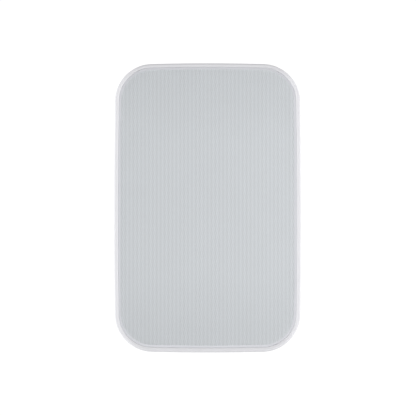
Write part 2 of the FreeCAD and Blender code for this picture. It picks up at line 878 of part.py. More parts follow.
def build_woofer_basket():
    """The pressed frame: flange, windowed wall, seat for the spider and foot for the magnet."""
    slope = S.basket_wall
    body = turned_body(
        "woofer_basket",
        [
            (S.woofer_radius, -S.flange_thickness),
            (S.woofer_radius, 0),
            (S.basket_mouth, 0),
            (S.basket_mouth, -S.basket_sill),
            (S.basket_throat, -S.basket_sill),
            (S.basket_throat, -S.flange_thickness - S.driver_seal),
            (S.spider_seat_radius, -S.spider_seat_depth),
            (S.spider_seat_inner, -S.spider_seat_depth),
            (S.basket_foot_radius - slope, -S.basket_foot_depth + slope),
            (S.basket_foot_bore, -S.basket_foot_depth + slope),
            (S.basket_foot_bore, -S.basket_foot_depth),
            (S.basket_foot_radius, -S.basket_foot_depth),
            (S.spider_seat_inner + slope, -S.spider_seat_depth - slope),
            (S.spider_seat_radius + slope / 2, -S.spider_seat_depth - slope),
            (S.basket_throat + slope, -S.baffle_thickness + S.basket_sill),
            (S.woofer_cutout - S.part_gap, -S.baffle_thickness + S.basket_sill),
            (S.woofer_cutout - S.part_gap, -S.flange_thickness),
        ],
    )
    window = new_sketch(body, "XZ_Plane", S.flange_thickness)
    angle = S.basket_window_half_angle
    inner, outer = S.basket_window_inner, S.basket_window_outer
    draw_loop(
        window,
        [
            (outer * sine(angle), outer * cosine(angle)),
            (-outer * sine(angle), outer * cosine(angle), outer),
            (-inner * sine(angle), inner * cosine(angle)),
            (inner * sine(angle), inner * cosine(angle), -inner),
        ],
    )
    opening = cut(body, window, S.spider_seat_depth, reverse=True)
    pattern = body.newObject("PartDesign::PolarPattern", "woofer_basket_windows")
    pattern.Originals = [opening]
    pattern.Axis = (origin_feature(body, "Y_Axis"), [""])
    pattern.Angle = 360
    bind(pattern, Occurrences=S.basket_windows)
    body.Tip = pattern
    doc.recompute()
    holes = new_sketch(body, "XZ_Plane")
    for across, _, up in circle_spots(S.woofer_screws, S.woofer_screw_circle, 0, 0):
        draw_circle(holes, S.screw_radius + S.part_gap, across, up)
    cut(body, holes, S.flange_thickness, reverse=True)
    keep(place(body, 0, BAFFLE_FACE, -S.woofer_drop, FORWARD), "woofer_basket")


def build_woofer_cone():
    """Surround, cone, dust cap, former, coil and spider: what moves, and what it hangs on."""
    sill, skin = -S.basket_sill, S.surround_skin
    outer_reach = root(S.roll_radius**2 - (skin + S.roll_sink) ** 2)
    inner_reach = root((S.roll_radius - skin) ** 2 - S.roll_sink**2)
    top = sill + skin
    woofer_part(
        "woofer_surround",
        [
            (S.basket_mouth - S.part_gap, sill),
            (S.basket_mouth - S.part_gap, top),
            (S.roll_middle + outer_reach, top),
            (S.roll_middle - outer_reach, top, S.roll_radius),
            (S.cone_flat_radius, top),
            (S.cone_flat_radius, sill),
            (S.roll_middle - inner_reach, sill),
            (S.roll_middle + inner_reach, sill, -(S.roll_radius - skin)),
        ],
    )
    neck, skin = -S.cone_neck_depth, S.cone_skin
    woofer_part(
        "woofer_cone",
        [
            (S.cone_rim_radius, sill),
            (S.cone_flat_radius, sill),
            (S.cone_neck_radius, neck),
            (FORMER_OUTSIDE, neck),
            (FORMER_OUTSIDE, neck - S.cone_neck_length),
            (S.cone_neck_radius, neck - S.cone_neck_length),
            (S.cone_neck_radius, neck - skin),
            (S.cone_flat_radius, sill - skin),
            (S.cone_rim_radius, sill - skin),
        ],
    )
    build_dust_cap()
    coil_middle = -(S.basket_foot_depth + S.top_plate_thickness / 2)
    coil_low, coil_high = coil_middle - S.coil_height / 2, coil_middle + S.coil_height / 2
    woofer_part("woofer_former", ring(S.former_radius, FORMER_OUTSIDE, coil_low, neck + skin))
    woofer_part("woofer_coil", ring(FORMER_OUTSIDE, COIL_OUTSIDE, coil_low, coil_high))
    build_spider()


def build_dust_cap():
    """A shallow dome whose edge rests on the cone's slope."""
    slope = (S.cone_neck_depth - S.basket_sill) / (S.cone_flat_radius - S.cone_neck_radius)
    inner = S.dust_cap_radius - S.dust_cap_skin
    seat = S.running_gap - S.cone_neck_depth
    outer_low = seat + slope * (S.dust_cap_radius - S.cone_neck_radius)
    inner_low = seat + slope * (inner - S.cone_neck_radius)
    top = outer_low + S.dust_cap_rise
    inner_top = top - S.dust_cap_skin
    woofer_part(
        "woofer_dust_cap",
        [
            (S.dust_cap_radius, outer_low),
            (0, top, dome_bend(S.dust_cap_radius, S.dust_cap_rise)),
            (0, inner_top),
            (inner, inner_low, -dome_bend(inner, inner_top - inner_low)),
        ],
    )


def dome_bend(radius, rise):
    """The radius of the sphere that a dome is cut from."""
    return (radius**2 + rise**2) / (2 * rise)


def build_spider():
    """A folded cloth disc between the former and its seat in the basket."""
    low, fold, skin = -S.spider_seat_depth, S.spider_fold, S.spider_skin
    start = FORMER_OUTSIDE + S.spider_collar
    step = (S.spider_seat_inner - S.part_gap - start) / (S.spider_folds + 1)
    folds = int(number(S.spider_folds))
    ridge = [(start + i * step, low + fold * (i % 2)) for i in range(1, folds + 1)]
    under = [(FORMER_OUTSIDE + S.running_gap, low), (start, low), *ridge]
    under += [(S.spider_seat_inner - S.part_gap, low), (S.spider_seat_radius - S.part_gap, low)]
    over = [(across, along + skin) for across, along in reversed(under)]
    woofer_part("woofer_spider", under + over)


def build_woofer_motor():
    """Magnet, its two steel plates, the seal under the flange and the tag for the leads."""
    foot = -S.basket_foot_depth
    plate_bore = COIL_OUTSIDE + S.magnet_gap
    woofer_part("woofer_top_plate", ring(plate_bore, S.top_plate_radius, -PLATE_BACK, foot))
    woofer_part("woofer_magnet", ring(S.magnet_bore, S.magnet_radius, -MAGNET_BACK, -PLATE_BACK))
    woofer_part(
        "woofer_yoke",
        [
            (S.pole_vent, -MAGNET_BACK - S.yoke_thickness),
            (S.yoke_radius, -MAGNET_BACK - S.yoke_thickness),
            (S.yoke_radius, -MAGNET_BACK),
            (POLE_RADIUS, -MAGNET_BACK),
            (POLE_RADIUS, foot),
            (S.pole_vent, foot),
        ],
    )
    seal_edge = S.woofer_screw_circle - S.screw_radius - S.part_gap
    woofer_part("woofer_seal", ring(S.woofer_cutout, seal_edge, -RECESS, -S.flange_thickness))
    tag = doc.addObject("Part::Box", "woofer_tag")
    bind(tag, Length=S.tag_width, Width=S.tag_drop, Height=S.tag_thickness)
    seat = S.spider_seat_depth + S.basket_wall
    place(tag, -S.tag_width / 2, BAFFLE_FACE - seat, TAG_TOP - S.tag_thickness)
    keep(tag, "woofer_tag")


# Tweeter


def tweeter_part(label, corners):
    return keep(place(turned_body(label, corners), 0, BAFFLE_FACE, S.tweeter_rise, FORWARD), label)


def build_tweeter():
    """Horn plate, one-piece dome, coil and magnet."""
    boss, seat = -S.tweeter_boss_depth, -DOME_SEAT
    plate = turned_body(
        "tweeter_horn",
        [
            (S.tweeter_radius, -S.flange_thickness),
            (S.tweeter_radius, 0),
            (S.horn_mouth, 0),
            (S.horn_throat, -S.horn_depth, S.horn_flare),
            (S.horn_throat, boss),
            (S.tweeter_boss_radius, boss),
            (S.tweeter_boss_radius, -S.flange_thickness),
        ],
    )
    holes = new_sketch(plate, "XZ_Plane")
    for across, _, up in circle_spots(S.tweeter_screws, S.tweeter_screw_circle, 0, 0):
        draw_circle(holes, S.screw_radius + S.part_gap, across, up)
    cut(plate, holes, S.flange_thickness, reverse=True)
    keep(place(plate, 0, BAFFLE_FACE, S.tweeter_rise, FORWARD), "tweeter_horn")

    crown = boss + S.dome_rise
    inner = S.dome_radius - S.dome_skin
    tweeter_part(
        "tweeter_dome",
        [
            (S.tweeter_flange_radius, seat),
            (S.tweeter_flange_radius, boss),
            (S.horn_throat - S.part_gap, boss),
            (S.dome_radius, boss, S.dome_roll),
            (0, crown, dome_bend(S.dome_radius, S.dome_rise)),
            (0, crown - S.dome_skin),
            (inner, seat, -dome_bend(inner, S.dome_rise)),
        ],
    )
    coil_inside = TWEETER_COIL_OUTSIDE - S.tweeter_coil_skin
    coil_low = seat - S.tweeter_coil_height
    tweeter_part("tweeter_coil", ring(coil_inside, TWEETER_COIL_OUTSIDE, coil_low, seat))
    plate_low = seat - S.tweeter_plate_thickness
    plate_bore = TWEETER_COIL_OUTSIDE + S.tweeter_gap
    tweeter_part("tweeter_top_plate", ring(plate_bore, S.tweeter_boss_radius, plate_low, seat))
    tweeter_part(
        "tweeter_magnet",
        ring(S.tweeter_magnet_bore, S.tweeter_boss_radius, -TWEETER_MAGNET_BACK, plate_low),
    )
    pole = coil_inside - S.tweeter_gap
    tweeter_part(
        "tweeter_yoke",
        [
            (0, -TWEETER_BACK),
            (S.tweeter_yoke_radius, -TWEETER_BACK),
            (S.tweeter_yoke_radius, -TWEETER_MAGNET_BACK),
            (pole, -TWEETER_MAGNET_BACK),
            (pole, seat - S.part_gap),
            (0, seat - S.part_gap),
        ],
    )
    seal_edge = S.tweeter_screw_circle - S.screw_radius - S.part_gap
    tweeter_part("tweeter_seal", ring(S.tweeter_cutout, seal_edge, -RECESS, -S.flange_thickness))
    tag = doc.addObject("Part::Box", "tweeter_tag")
    bind(tag, Length=S.tweeter_tag_width, Width=S.tag_thickness, Height=S.tweeter_tag_height)
    low = TWEETER_LANDING - S.tweeter_tag_height / 2
    place(tag, -S.tweeter_tag_width / 2, BAFFLE_FACE - TWEETER_BACK, low)
    keep(tag, "tweeter_tag")


# Crossover


def build_crossover():
    """The filter board on its stands, with two coils, two capacitors and a resistor."""
    board = new_body("crossover_board")
    panel = new_sketch(board, offset=BOARD_BACK)
    draw_rounded_box(panel, S.board_width, S.board_height, S.board_corner, S.board_centre)
    draw_spots(panel, S.screw_radius + S.part_gap, board_screw_spots(0))
    pad(board, panel, S.board_thickness)
    keep(board, "crossover_board")

    inner, outer = S.bobbin_core, S.bobbin_radius
    flange, top = S.bobbin_flange, S.bobbin_height
    bobbin = turned_body(
        "bass_coil_bobbin",
        [
            (inner - flange, 0),
            (outer, 0),
            (outer, flange),
            (inner, flange),
            (inner, top - flange),
            (outer, top - flange),
            (outer, top),
            (inner - flange, top),
        ],
    )
    winding = turned_body("bass_coil", ring(inner, S.bobbin_winding_radius, flange, top - flange))
    air_coil = turned_body("treble_coil", ring(S.air_coil_bore, S.air_coil_radius, 0, S.air_coil_height))
    for body, side, up in (
        (bobbin, -S.bobbin_across, S.bobbin_up),
        (winding, -S.bobbin_across, S.bobbin_up),
        (air_coil, S.air_coil_across, S.air_coil_up),
    ):
        keep(place(body, side, BOARD_FRONT, S.board_centre + up, FORWARD), body.Name)
    build_board_blocks()


def build_board_blocks():
    """Capacitors lie across the board, and the resistor is a square ceramic block."""
    round_end = S.capacitor_round
    can = turned_body(
        "capacitor",
        [
            (0, -S.capacitor_length / 2),
            (S.capacitor_radius - round_end, -S.capacitor_length / 2),
            (S.capacitor_radius, -S.capacitor_length / 2 + round_end, round_end),
            (S.capacitor_radius, S.capacitor_length / 2 - round_end),
            (S.capacitor_radius - round_end, S.capacitor_length / 2, round_end),
            (0, S.capacitor_length / 2),
        ],
    )
    middle = BOARD_FRONT + S.capacitor_radius
    up = S.board_centre - S.capacitor_down
    spots = [(-S.capacitor_across, middle, up), (S.capacitor_across, middle, up)]
    spread("crossover_capacitors", can, spots, Rotation(Vector(0, 0, 1), 90))
    block = doc.addObject("Part::Box", "crossover_resistor")
    bind(block, Length=S.resistor_length, Width=S.resistor_side, Height=S.resistor_side)
    across = S.resistor_across - S.resistor_length / 2
    low = S.board_centre - S.resistor_down - S.resistor_side / 2
    place(block, across, BOARD_FRONT + S.resistor_side, low)
    keep(block, "crossover_resistor")


# Terminals


def build_terminal_cup():
    """The recessed plate on the rear face, and its seal."""
    body = new_body("terminal_cup")
    outer_width, outer_height = S.cup_width + 2 * S.cup_wall, S.cup_height + 2 * S.cup_wall
    outer_corner = S.cup_corner + S.cup_wall
    inner_face = REAR_FACE - S.cup_seal
    flange = new_sketch(body, offset=inner_face)
    draw_rounded_box(flange, CUP_FLANGE_WIDTH, CUP_FLANGE_HEIGHT, outer_corner, -S.cup_drop)
    pad(body, flange, S.cup_flange, reverse=True)
    shell = new_sketch(body, offset=inner_face)
    draw_rounded_box(shell, outer_width, outer_height, outer_corner, -S.cup_drop)
    pad(body, shell, S.cup_depth - S.cup_flange + S.cup_wall)
    recess = new_sketch(body, offset=CUP_FACE)
    draw_rounded_box(recess, S.cup_width, S.cup_height, S.cup_corner, -S.cup_drop)
    cut(body, recess, S.cup_depth, reverse=True)
    holes = new_sketch(body, offset=CUP_FLOOR)
    for side in (-1, 1):
        draw_circle(holes, S.post_tail_radius + S.part_gap, side * S.post_spacing / 2, -S.cup_drop)
    cut(body, holes, S.cup_wall, reverse=True)
    screw_holes = new_sketch(body, offset=CUP_FACE)
    draw_spots(screw_holes, S.screw_radius + S.part_gap, cup_screw_spots(0))
    cut(body, screw_holes, S.cup_flange, reverse=True)
    keep(body, "terminal_cup")

    seal = new_body("terminal_seal")
    band = new_sketch(seal, offset=REAR_FACE)
    draw_rounded_box(band, CUP_FLANGE_WIDTH, CUP_FLANGE_HEIGHT, outer_corner, -S.cup_drop)
    play = 2 * S.part_gap
    draw_rounded_box(band, outer_width + play, outer_height + play, outer_corner, -S.cup_drop)
    draw_spots(band, S.screw_radius + S.part_gap, cup_screw_spots(0))
    pad(seal, band, S.cup_seal, reverse=True)
    keep(seal, "terminal_seal")


def build_binding_posts():
    """A brass post with a plug socket, its screw cap and its nut, for each pole."""
    tail_end = -S.cup_wall - S.post_tail_length
    cap_base = S.post_collar_height + S.part_gap
    cap_floor = S.post_length + S.part_gap
    cap_top = cap_floor + S.cap_end
    cap_bore = S.post_radius + S.running_gap
    for pole, side in (("red", -1), ("black", 1)):
        post = turned_body(
            f"{pole}_post",
            [
                (0, tail_end),
                (S.post_tail_radius, tail_end),
                (S.post_tail_radius, 0),
                (S.post_collar_radius, 0),
                (S.post_collar_radius, S.post_collar_height),
                (S.post_radius, S.post_collar_height),
                (S.post_radius, S.post_length),
                (S.plug_bore, S.post_length),
                (S.plug_bore, S.post_length - S.plug_depth),
                (0, S.post_length - S.plug_depth),
            ],
        )
        cap = turned_body(
            f"{pole}_cap",
            [
                (cap_bore, cap_base),
                (S.cap_radius, cap_base),
                (S.cap_radius, cap_top),
                (S.cap_mouth, cap_top),
                (S.cap_mouth, cap_floor),
                (cap_bore, cap_floor),
            ],
        )
        for body in (post, cap):
            keep(place(body, side * S.post_spacing / 2, CUP_FLOOR, -S.cup_drop), body.Name)
    nut = new_body("post_nut")
    hexagon = new_sketch(nut, "XZ_Plane")
    turns = [math.radians(60 * i) for i in range(6)]
    ways = [(whole(math.cos(turn)), whole(math.sin(turn))) for turn in turns]
    draw_loop(hexagon, [(S.nut_radius * across, S.nut_radius * up) for across, up in ways])
    draw_circle(hexagon, S.post_tail_radius + S.running_gap)
    pad(nut, hexagon, S.nut_height)
    standoff = CUP_FLOOR + S.cup_wall
    spread("post_nuts", nut, [(side * S.post_spacing / 2, standoff, -S.cup_drop) for side in (-1, 1)])


# Leads


def lead_pair(label, across, corners):
    """Two round leads, mirrored left and right, along square corners (standoff, up) with round bends."""
    body = new_body(label)
    path = new_sketch(body, "YZ_Plane", across)
    draw_chain(path, round_corners([(-standoff, up) for standoff, up in corners]), closed=False)
    start, height = corners[0]
    section = new_sketch(body, "XZ_Plane", start)
    draw_circle(section, S.lead_radius, across, height)
    pipe = body.newObject("PartDesign::AdditivePipe", label + "_pipe")
    pipe.Profile = section
    pipe.Spine = path
    doc.recompute()
    mirror = body.newObject("PartDesign::Mirrored", label + "_pair")
    mirror.Originals = [pipe]
    mirror.MirrorPlane = (origin_feature(body, "YZ_Plane"), [""])
    body.Tip = mirror
    doc.recompute()
    expected = 2 * math.pi * number(S.lead_radius) ** 2 * path.Shape.Length
    if abs(body.Shape.Volume - expected) > expected / 1000:
        raise RuntimeError(f"{label} holds {body.Shape.Volume:.1f}, not {expected:.1f}")
    keep(body, label)


def round_corners(corners):
    """A square path with each inner corner turned into an arc, ready for draw_chain."""
    chain = [corners[0]]
    for before, corner, after in zip(corners, corners[1:], corners[2:]):
        arriving, leaving = spot(*corner) - spot(*before), spot(*after) - spot(*corner)
        turn = math.copysign(1, arriving.cross(leaving).z)
        chain.append(step_towards(corner, before))
        chain.append((*step_towards(corner, after), turn * S.lead_bend))
    return [*chain, corners[-1]]


def step_towards(corner, other):
    """The point one bend radius from a corner towards another that lies square to it."""
    away = spot(*other) - spot(*corner)
    if abs(away.x) > abs(away.y):
        return (corner[0] + math.copysign(1, away.x) * S.lead_bend, corner[1])
    return (corner[0], corner[1] + math.copysign(1, away.y) * S.lead_bend)


def build_leads():
    """From the posts to the board, and from the board to each driver's tag."""
    low = S.board_centre - S.board_height / 2
    tail = CUP_FLOOR + S.cup_wall + S.post_tail_length
    front, up = tail + S.input_lead_run, low + S.input_lead_landing
    route = [(tail, -S.cup_drop), (front, -S.cup_drop), (front, up), (BOARD_FRONT, up)]
    lead_pair("input_leads", S.post_spacing / 2, route)

    front, up = BAFFLE_FACE - S.woofer_lead_depth, low + S.woofer_lead_landing
    lead_pair("woofer_leads", S.woofer_lead_across, [(BOARD_FRONT, up), (front, up), (front, TAG_TOP)])

    front, up = BAFFLE_FACE - TWEETER_BACK - S.tag_thickness, TWEETER_LANDING
    lead_pair("tweeter_leads", S.tweeter_lead_across, [(BOARD_FRONT, up), (front, up)])


# Pivots and bracket


def build_pivots():
    """Threaded insert, rubber washer, stud and knob, above and below."""
    for name, side in (("top", 1), ("bottom", -1)):
        turn = Rotation(Vector(1, 0, 0), 90 * side)
        insert_bore = S.stud_radius + S.running_gap
        insert = turned_body(f"{name}_insert", ring(insert_bore, S.insert_radius, -S.insert_length, 0))
        washer_bore = S.stud_radius + S.stud_hole_gap
        washer = turned_body(f"{name}_washer", ring(washer_bore, S.washer_radius, 0, S.washer_thickness))
        stud = turned_body(f"{name}_stud", ring(0, S.stud_radius, -S.stud_length, S.stud_hold))
        knob = build_knob(f"{name}_knob")
        for height, bodies in ((PAD_FACE, (insert, washer)), (KNOB_BASE, (stud, knob))):
            for body in bodies:
                keep(place(body, 0, S.pivot_standoff, side * height, turn), body.Name)


def build_knob(name):
    """A scalloped hand knob with a blind hole for its stud."""
    knob = turned_body(
        name,
        [
            (S.stud_radius, 0),
            (S.knob_radius, 0),
            (S.knob_radius, S.knob_height - S.knob_round),
            (S.knob_radius - S.knob_round, S.knob_height, S.knob_round),
            (0, S.knob_height),
            (0, S.stud_hold),
            (S.stud_radius, S.stud_hold),
        ],
    )
    notch = new_sketch(knob, "XZ_Plane")
    bite_centre = S.knob_radius + S.knob_scallop_radius - S.knob_scallop_bite
    draw_circle(notch, S.knob_scallop_radius, bite_centre)
    scallop = cut(knob, notch, S.knob_height)
    pattern = knob.newObject("PartDesign::PolarPattern", name + "_scallops")
    pattern.Originals = [scallop]
    pattern.Axis = (origin_feature(knob, "Y_Axis"), [""])
    pattern.Angle = 360
    bind(pattern, Occurrences=S.knob_scallops)
    knob.Tip = pattern
    doc.recompute()
    return knob


def build_bracket():
    """One folded steel strip: a windowed web on the wall and an arm above and below the cabinet."""
    strip = new_body("bracket_strip")
    tip = -(S.pivot_standoff + S.arm_tip_radius)
    bend, outer_bend = S.bracket_bend, (S.bracket_bend + S.bracket_sheet)
    straight = ARM_INSIDE - S.bracket_bend
    profile = new_sketch(strip, "YZ_Plane", -S.bracket_width / 2)
    draw_loop(
        profile,
        [
            (-outer_bend, ARM_OUTSIDE),
            (0, straight, -outer_bend),
            (0, -straight),
            (-outer_bend, -ARM_OUTSIDE, -outer_bend),
            (tip, -ARM_OUTSIDE),
            (tip, -ARM_INSIDE),
            (-outer_bend, -ARM_INSIDE),
            (-S.bracket_sheet, -straight, bend),
            (-S.bracket_sheet, straight),
            (-outer_bend, ARM_INSIDE, bend),
            (tip, ARM_INSIDE),
            (tip, ARM_OUTSIDE),
        ],
    )
    pad(strip, profile, S.bracket_width)
    web = new_sketch(strip)
    draw_rounded_box(web, S.window_width, S.window_height, S.window_corner)
    draw_spots(web, S.wall_hole_radius, box_spots(S.wall_hole_across / 2, S.wall_hole_up / 2, 0))
    cut(strip, web, S.bracket_sheet, reverse=True)
    pivots = new_sketch(strip, "XY_Plane", ARM_OUTSIDE)
    draw_circle(pivots, S.stud_radius + S.stud_hole_gap, 0, -S.pivot_standoff)
    cut(strip, pivots, 2 * ARM_OUTSIDE)

    plan = new_body("bracket_plan")
    shape = new_sketch(plan, "XY_Plane", -ARM_OUTSIDE)
    half, shoulder = S.bracket_width / 2, -S.bracket_shoulder
    tip_half = root(S.arm_tip_radius**2 - S.arm_tip_drop**2)
    tip_low = -(S.pivot_standoff + S.arm_tip_drop)
    draw_loop(
        shape,
        [
            (half, 0),
            (-half, 0),
            (-half, shoulder),
            (-tip_half, tip_low),
            (tip_half, tip_low, S.arm_tip_radius),
            (half, shoulder),
        ],
    )
    pad(plan, shape, 2 * ARM_OUTSIDE)
    bracket = doc.addObject("Part::Common", "wall_bracket")
    bracket.Base, bracket.Tool = strip, plan
    doc.recompute()
    keep(bracket, "wall_bracket")


def export_pieces():
    """Check every object and every piece, then write one STEP file for each piece."""
    doc.recompute()
    for item in doc.Objects:
        if "Invalid" in item.State or "Error" in item.State:
            raise RuntimeError(f"{item.Name} failed: {item.State}")
    for piece in pieces:
        if piece.Shape.isNull() or not piece.Shape.isValid() or not piece.Shape.Solids:
            raise RuntimeError(f"{piece.Label} has no valid solid")
    os.makedirs("parts", exist_ok=True)
    for piece in pieces:
        piece.Shape.exportStep(f"parts/{piece.Label}.step")
    print(len(pieces), "pieces written")


fill_sheet()
build_rear_cabinet()
build_baffle()
build_grille()
build_screws()
build_woofer_basket()
build_woofer_cone()
build_woofer_motor()
build_tweeter()
build_crossover()
build_terminal_cup()
build_binding_posts()
build_leads()
build_pivots()
build_bracket()
export_pieces()
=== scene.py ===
"""The looks of a garden speaker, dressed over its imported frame.

Metres, +Z up, and the grille faces -Y. Most CAD pieces keep their shape and get a finish here. Modelled here
are the slotted grille, its cloth, the woofer's surround and spider, the terminal caps and the polarity marks.
"""

import json
import math
import random

import bmesh
import bpy
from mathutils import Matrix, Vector
from mathutils.geometry import delaunay_2d_cdt


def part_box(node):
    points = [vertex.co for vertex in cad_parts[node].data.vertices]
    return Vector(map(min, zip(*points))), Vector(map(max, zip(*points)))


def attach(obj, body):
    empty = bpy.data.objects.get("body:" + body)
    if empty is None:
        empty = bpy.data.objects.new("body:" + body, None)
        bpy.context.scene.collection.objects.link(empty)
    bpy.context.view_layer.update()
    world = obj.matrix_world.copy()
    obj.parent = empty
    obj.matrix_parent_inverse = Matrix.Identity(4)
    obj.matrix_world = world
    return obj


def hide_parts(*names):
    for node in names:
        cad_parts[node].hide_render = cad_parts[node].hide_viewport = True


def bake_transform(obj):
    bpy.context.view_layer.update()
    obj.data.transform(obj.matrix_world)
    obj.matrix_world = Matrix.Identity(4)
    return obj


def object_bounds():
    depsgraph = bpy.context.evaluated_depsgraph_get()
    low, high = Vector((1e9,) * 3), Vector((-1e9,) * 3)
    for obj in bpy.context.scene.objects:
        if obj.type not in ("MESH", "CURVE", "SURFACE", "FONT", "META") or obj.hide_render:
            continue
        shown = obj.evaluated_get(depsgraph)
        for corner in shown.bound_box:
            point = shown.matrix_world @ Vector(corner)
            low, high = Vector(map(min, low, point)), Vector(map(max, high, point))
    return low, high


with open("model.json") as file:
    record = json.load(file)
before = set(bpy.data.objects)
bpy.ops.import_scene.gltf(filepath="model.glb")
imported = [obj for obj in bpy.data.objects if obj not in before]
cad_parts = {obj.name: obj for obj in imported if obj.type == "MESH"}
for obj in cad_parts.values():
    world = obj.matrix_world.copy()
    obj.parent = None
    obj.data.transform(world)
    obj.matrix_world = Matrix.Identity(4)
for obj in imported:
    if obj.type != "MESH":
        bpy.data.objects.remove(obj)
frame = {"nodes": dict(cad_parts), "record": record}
cad_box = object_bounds()

MM = 0.001
WHOLE_TURN = 2 * math.pi
WHITE = (1, 1, 1)

# The photograph's frame and camera: a pixel's size at the front, and the outline's middle in pixels
PHOTO_PIXELS = 416
PIXEL = 1.0545 * MM
OUTLINE_CENTRE = (207.5, 207.25)
CAMERA_LENS = 400
CAMERA_SENSOR = 36
CAMERA_RISE = math.radians(-3.3)

# Front outline, as the cabinet's: a tall box with round corners, whose sides and ends bow at these radii
CORNER = 39.6 * MM
SIDE_BOW = 8.8
END_BOW = 2.3

# Pressed grille: one thin sheet with a tight bend, a plain edge and slots
SHEET = 0.25 * MM
BEND = 0.08 * MM
BEND_STEPS = 4
GRILLE_GAP = 0.03 * MM
RIM_WIDTH = 4.4 * MM
PLAIN_EDGE = 1.7 * MM
SLOT_MARGIN = 1.9 * MM

# Upright slots: columns a little wider and narrower in turn, which step up in one leg and down in the next
STRIPE_PITCH = 4.12 * MM
COLUMNS_IN_STRIPE = 6
COLUMNS_IN_LEG = 10
STRIPE_DEPTH = 0.1
SLOT_SCATTER = 0.1
SLOT_WIDTH = 0.185 * MM
SLOT_LENGTH = 6.7 * MM
SLOT_PITCH = 8.44 * MM
SLOT_STAGGER = 0.305
SHORTEST_SLOT = 1.0 * MM
SLOT_SEED = 7

# The grille's parts, as a point attribute that its paint reads
AT_SLOT, PLAIN, ON_BEND = 0.0, 1.0, 2.0

# The grille's paint: how far its tone goes either way, the shares of painted slot shade in stripes and beads
# in the tone, and a painted highlight on the bend
PAINT_SPREAD = 0.12
SLOT_SHADE_STRIPE_SHARE = 0.35
SLOT_SHADE_BEAD_SHARE = 0.56
BEAD_WIDTH = 2.253 * MM
PLAIN_TINT = (0.93, 0.9, 0.92)
# A painted highlight along the grille's bend
PAINTED_BEND_HIGHLIGHT = 1.2
POWDER_ROUGHNESS = 0.42

# Painted light on the grille's paint: brightest at the right of the middle, with painted shade towards the
# left and both ends
PAINTED_FALLOFF_LEVELS = (1.02, 0.92)
PAINTED_FALLOFF_ENDS = (60 * MM, 150 * MM)
PAINTED_FALLOFF_WIDTH = 176 * MM
PAINTED_FALLOFF_ENDS_SHARE = 0.65

# Painted light and shade on the rim: a painted highlight on its inner slopes left and right, and painted
# shade on its inner slope along the top, as on the grille's plain edge there. A slope is a distance from the
# middle times how far the surface faces out.
PAINTED_HIGHLIGHT_REACH = (75 * MM, 96 * MM)
PAINTED_SHADE_HEIGHTS = (110 * MM, 145 * MM)
HIGHLIGHT_SLOPE_RANGE = (-20 * MM, 60 * MM)
SHADE_SLOPE_RANGE = (-100 * MM, -10 * MM)
PAINTED_SIDE_HIGHLIGHT = 1.13
PAINTED_TOP_SHADE = 0.88

# Where the grain of the cabinet's flanks sets in, along Y
FLANK_START = (-203 * MM, -197 * MM)

# Cloth behind the grille
SCRIM_STEP = 0.1 * MM
SCRIM_RINGS = 12

# Woofer's roll and folds
ROLL_MIDDLE = 59.5 * MM
ROLL_RADIUS = 7.0 * MM
ROLL_SINK = 2.0 * MM
ROLL_SKIN = 1.0 * MM
ROLL_STEPS = 24
CONE_LIP = 49.0 * MM
SPIDER_BORE = 15.45 * MM
SPIDER_FLAT = 18.9 * MM
SPIDER_SEAT = 35.7 * MM
SPIDER_WAVES = 4
STEPS_IN_WAVE = 12
SPIDER_SKIN = 0.6 * MM

# Terminal caps
CAP_FLUTES = 18
STEPS_IN_FLUTE = 12
CAP_FLUTE_DEPTH = 0.5 * MM
CAP_CHAMFER = 0.8 * MM
CAP_MOUTH = 3.0 * MM
CAP_BORE = 3.25 * MM
CAP_END = 2.2 * MM

# Polarity marks on the terminal cup
MARK_ARM = 2.6 * MM
MARK_HALF = 0.55 * MM
MARK_PROUD = 0.45 * MM
MARK_TAPER = 0.15 * MM
MARK_HEIGHT = 6.3 * MM

# A face of the frame's mesh with less area than this (square metres) is a collapsed sliver
SLIVER_AREA = 1e-12
SLIVER_REACH = 0.01 * MM
WELD_REACH = 0.001 * MM

# Stage: its floor and the point that is lit, in metres, and the gain that makes its far end white
FLOOR_DROP = 1.2
FLOOR_HALF = 80.0
FLOOR_FADE = (5, 18)
LIT_POINT = Vector((0, -0.15, 0))
WHITE_GAIN = 1.06


# Shader nodes


class Value:
    """One output among a tree's nodes. Arithmetic on it adds Math nodes."""

    def __init__(self, sheet, socket):
        self.sheet = sheet
        self.socket = socket

    def __add__(self, other):
        return self.sheet.maths("ADD", self, other)

    def __sub__(self, other):
        return self.sheet.maths("SUBTRACT", self, other)

    def __mul__(self, other):
        return self.sheet.maths("MULTIPLY", self, other)

    def __radd__(self, other):
        return self.sheet.maths("ADD", other, self)

    def __rsub__(self, other):
        return self.sheet.maths("SUBTRACT", other, self)

    def __rmul__(self, other):
        return self.sheet.maths("MULTIPLY", other, self)


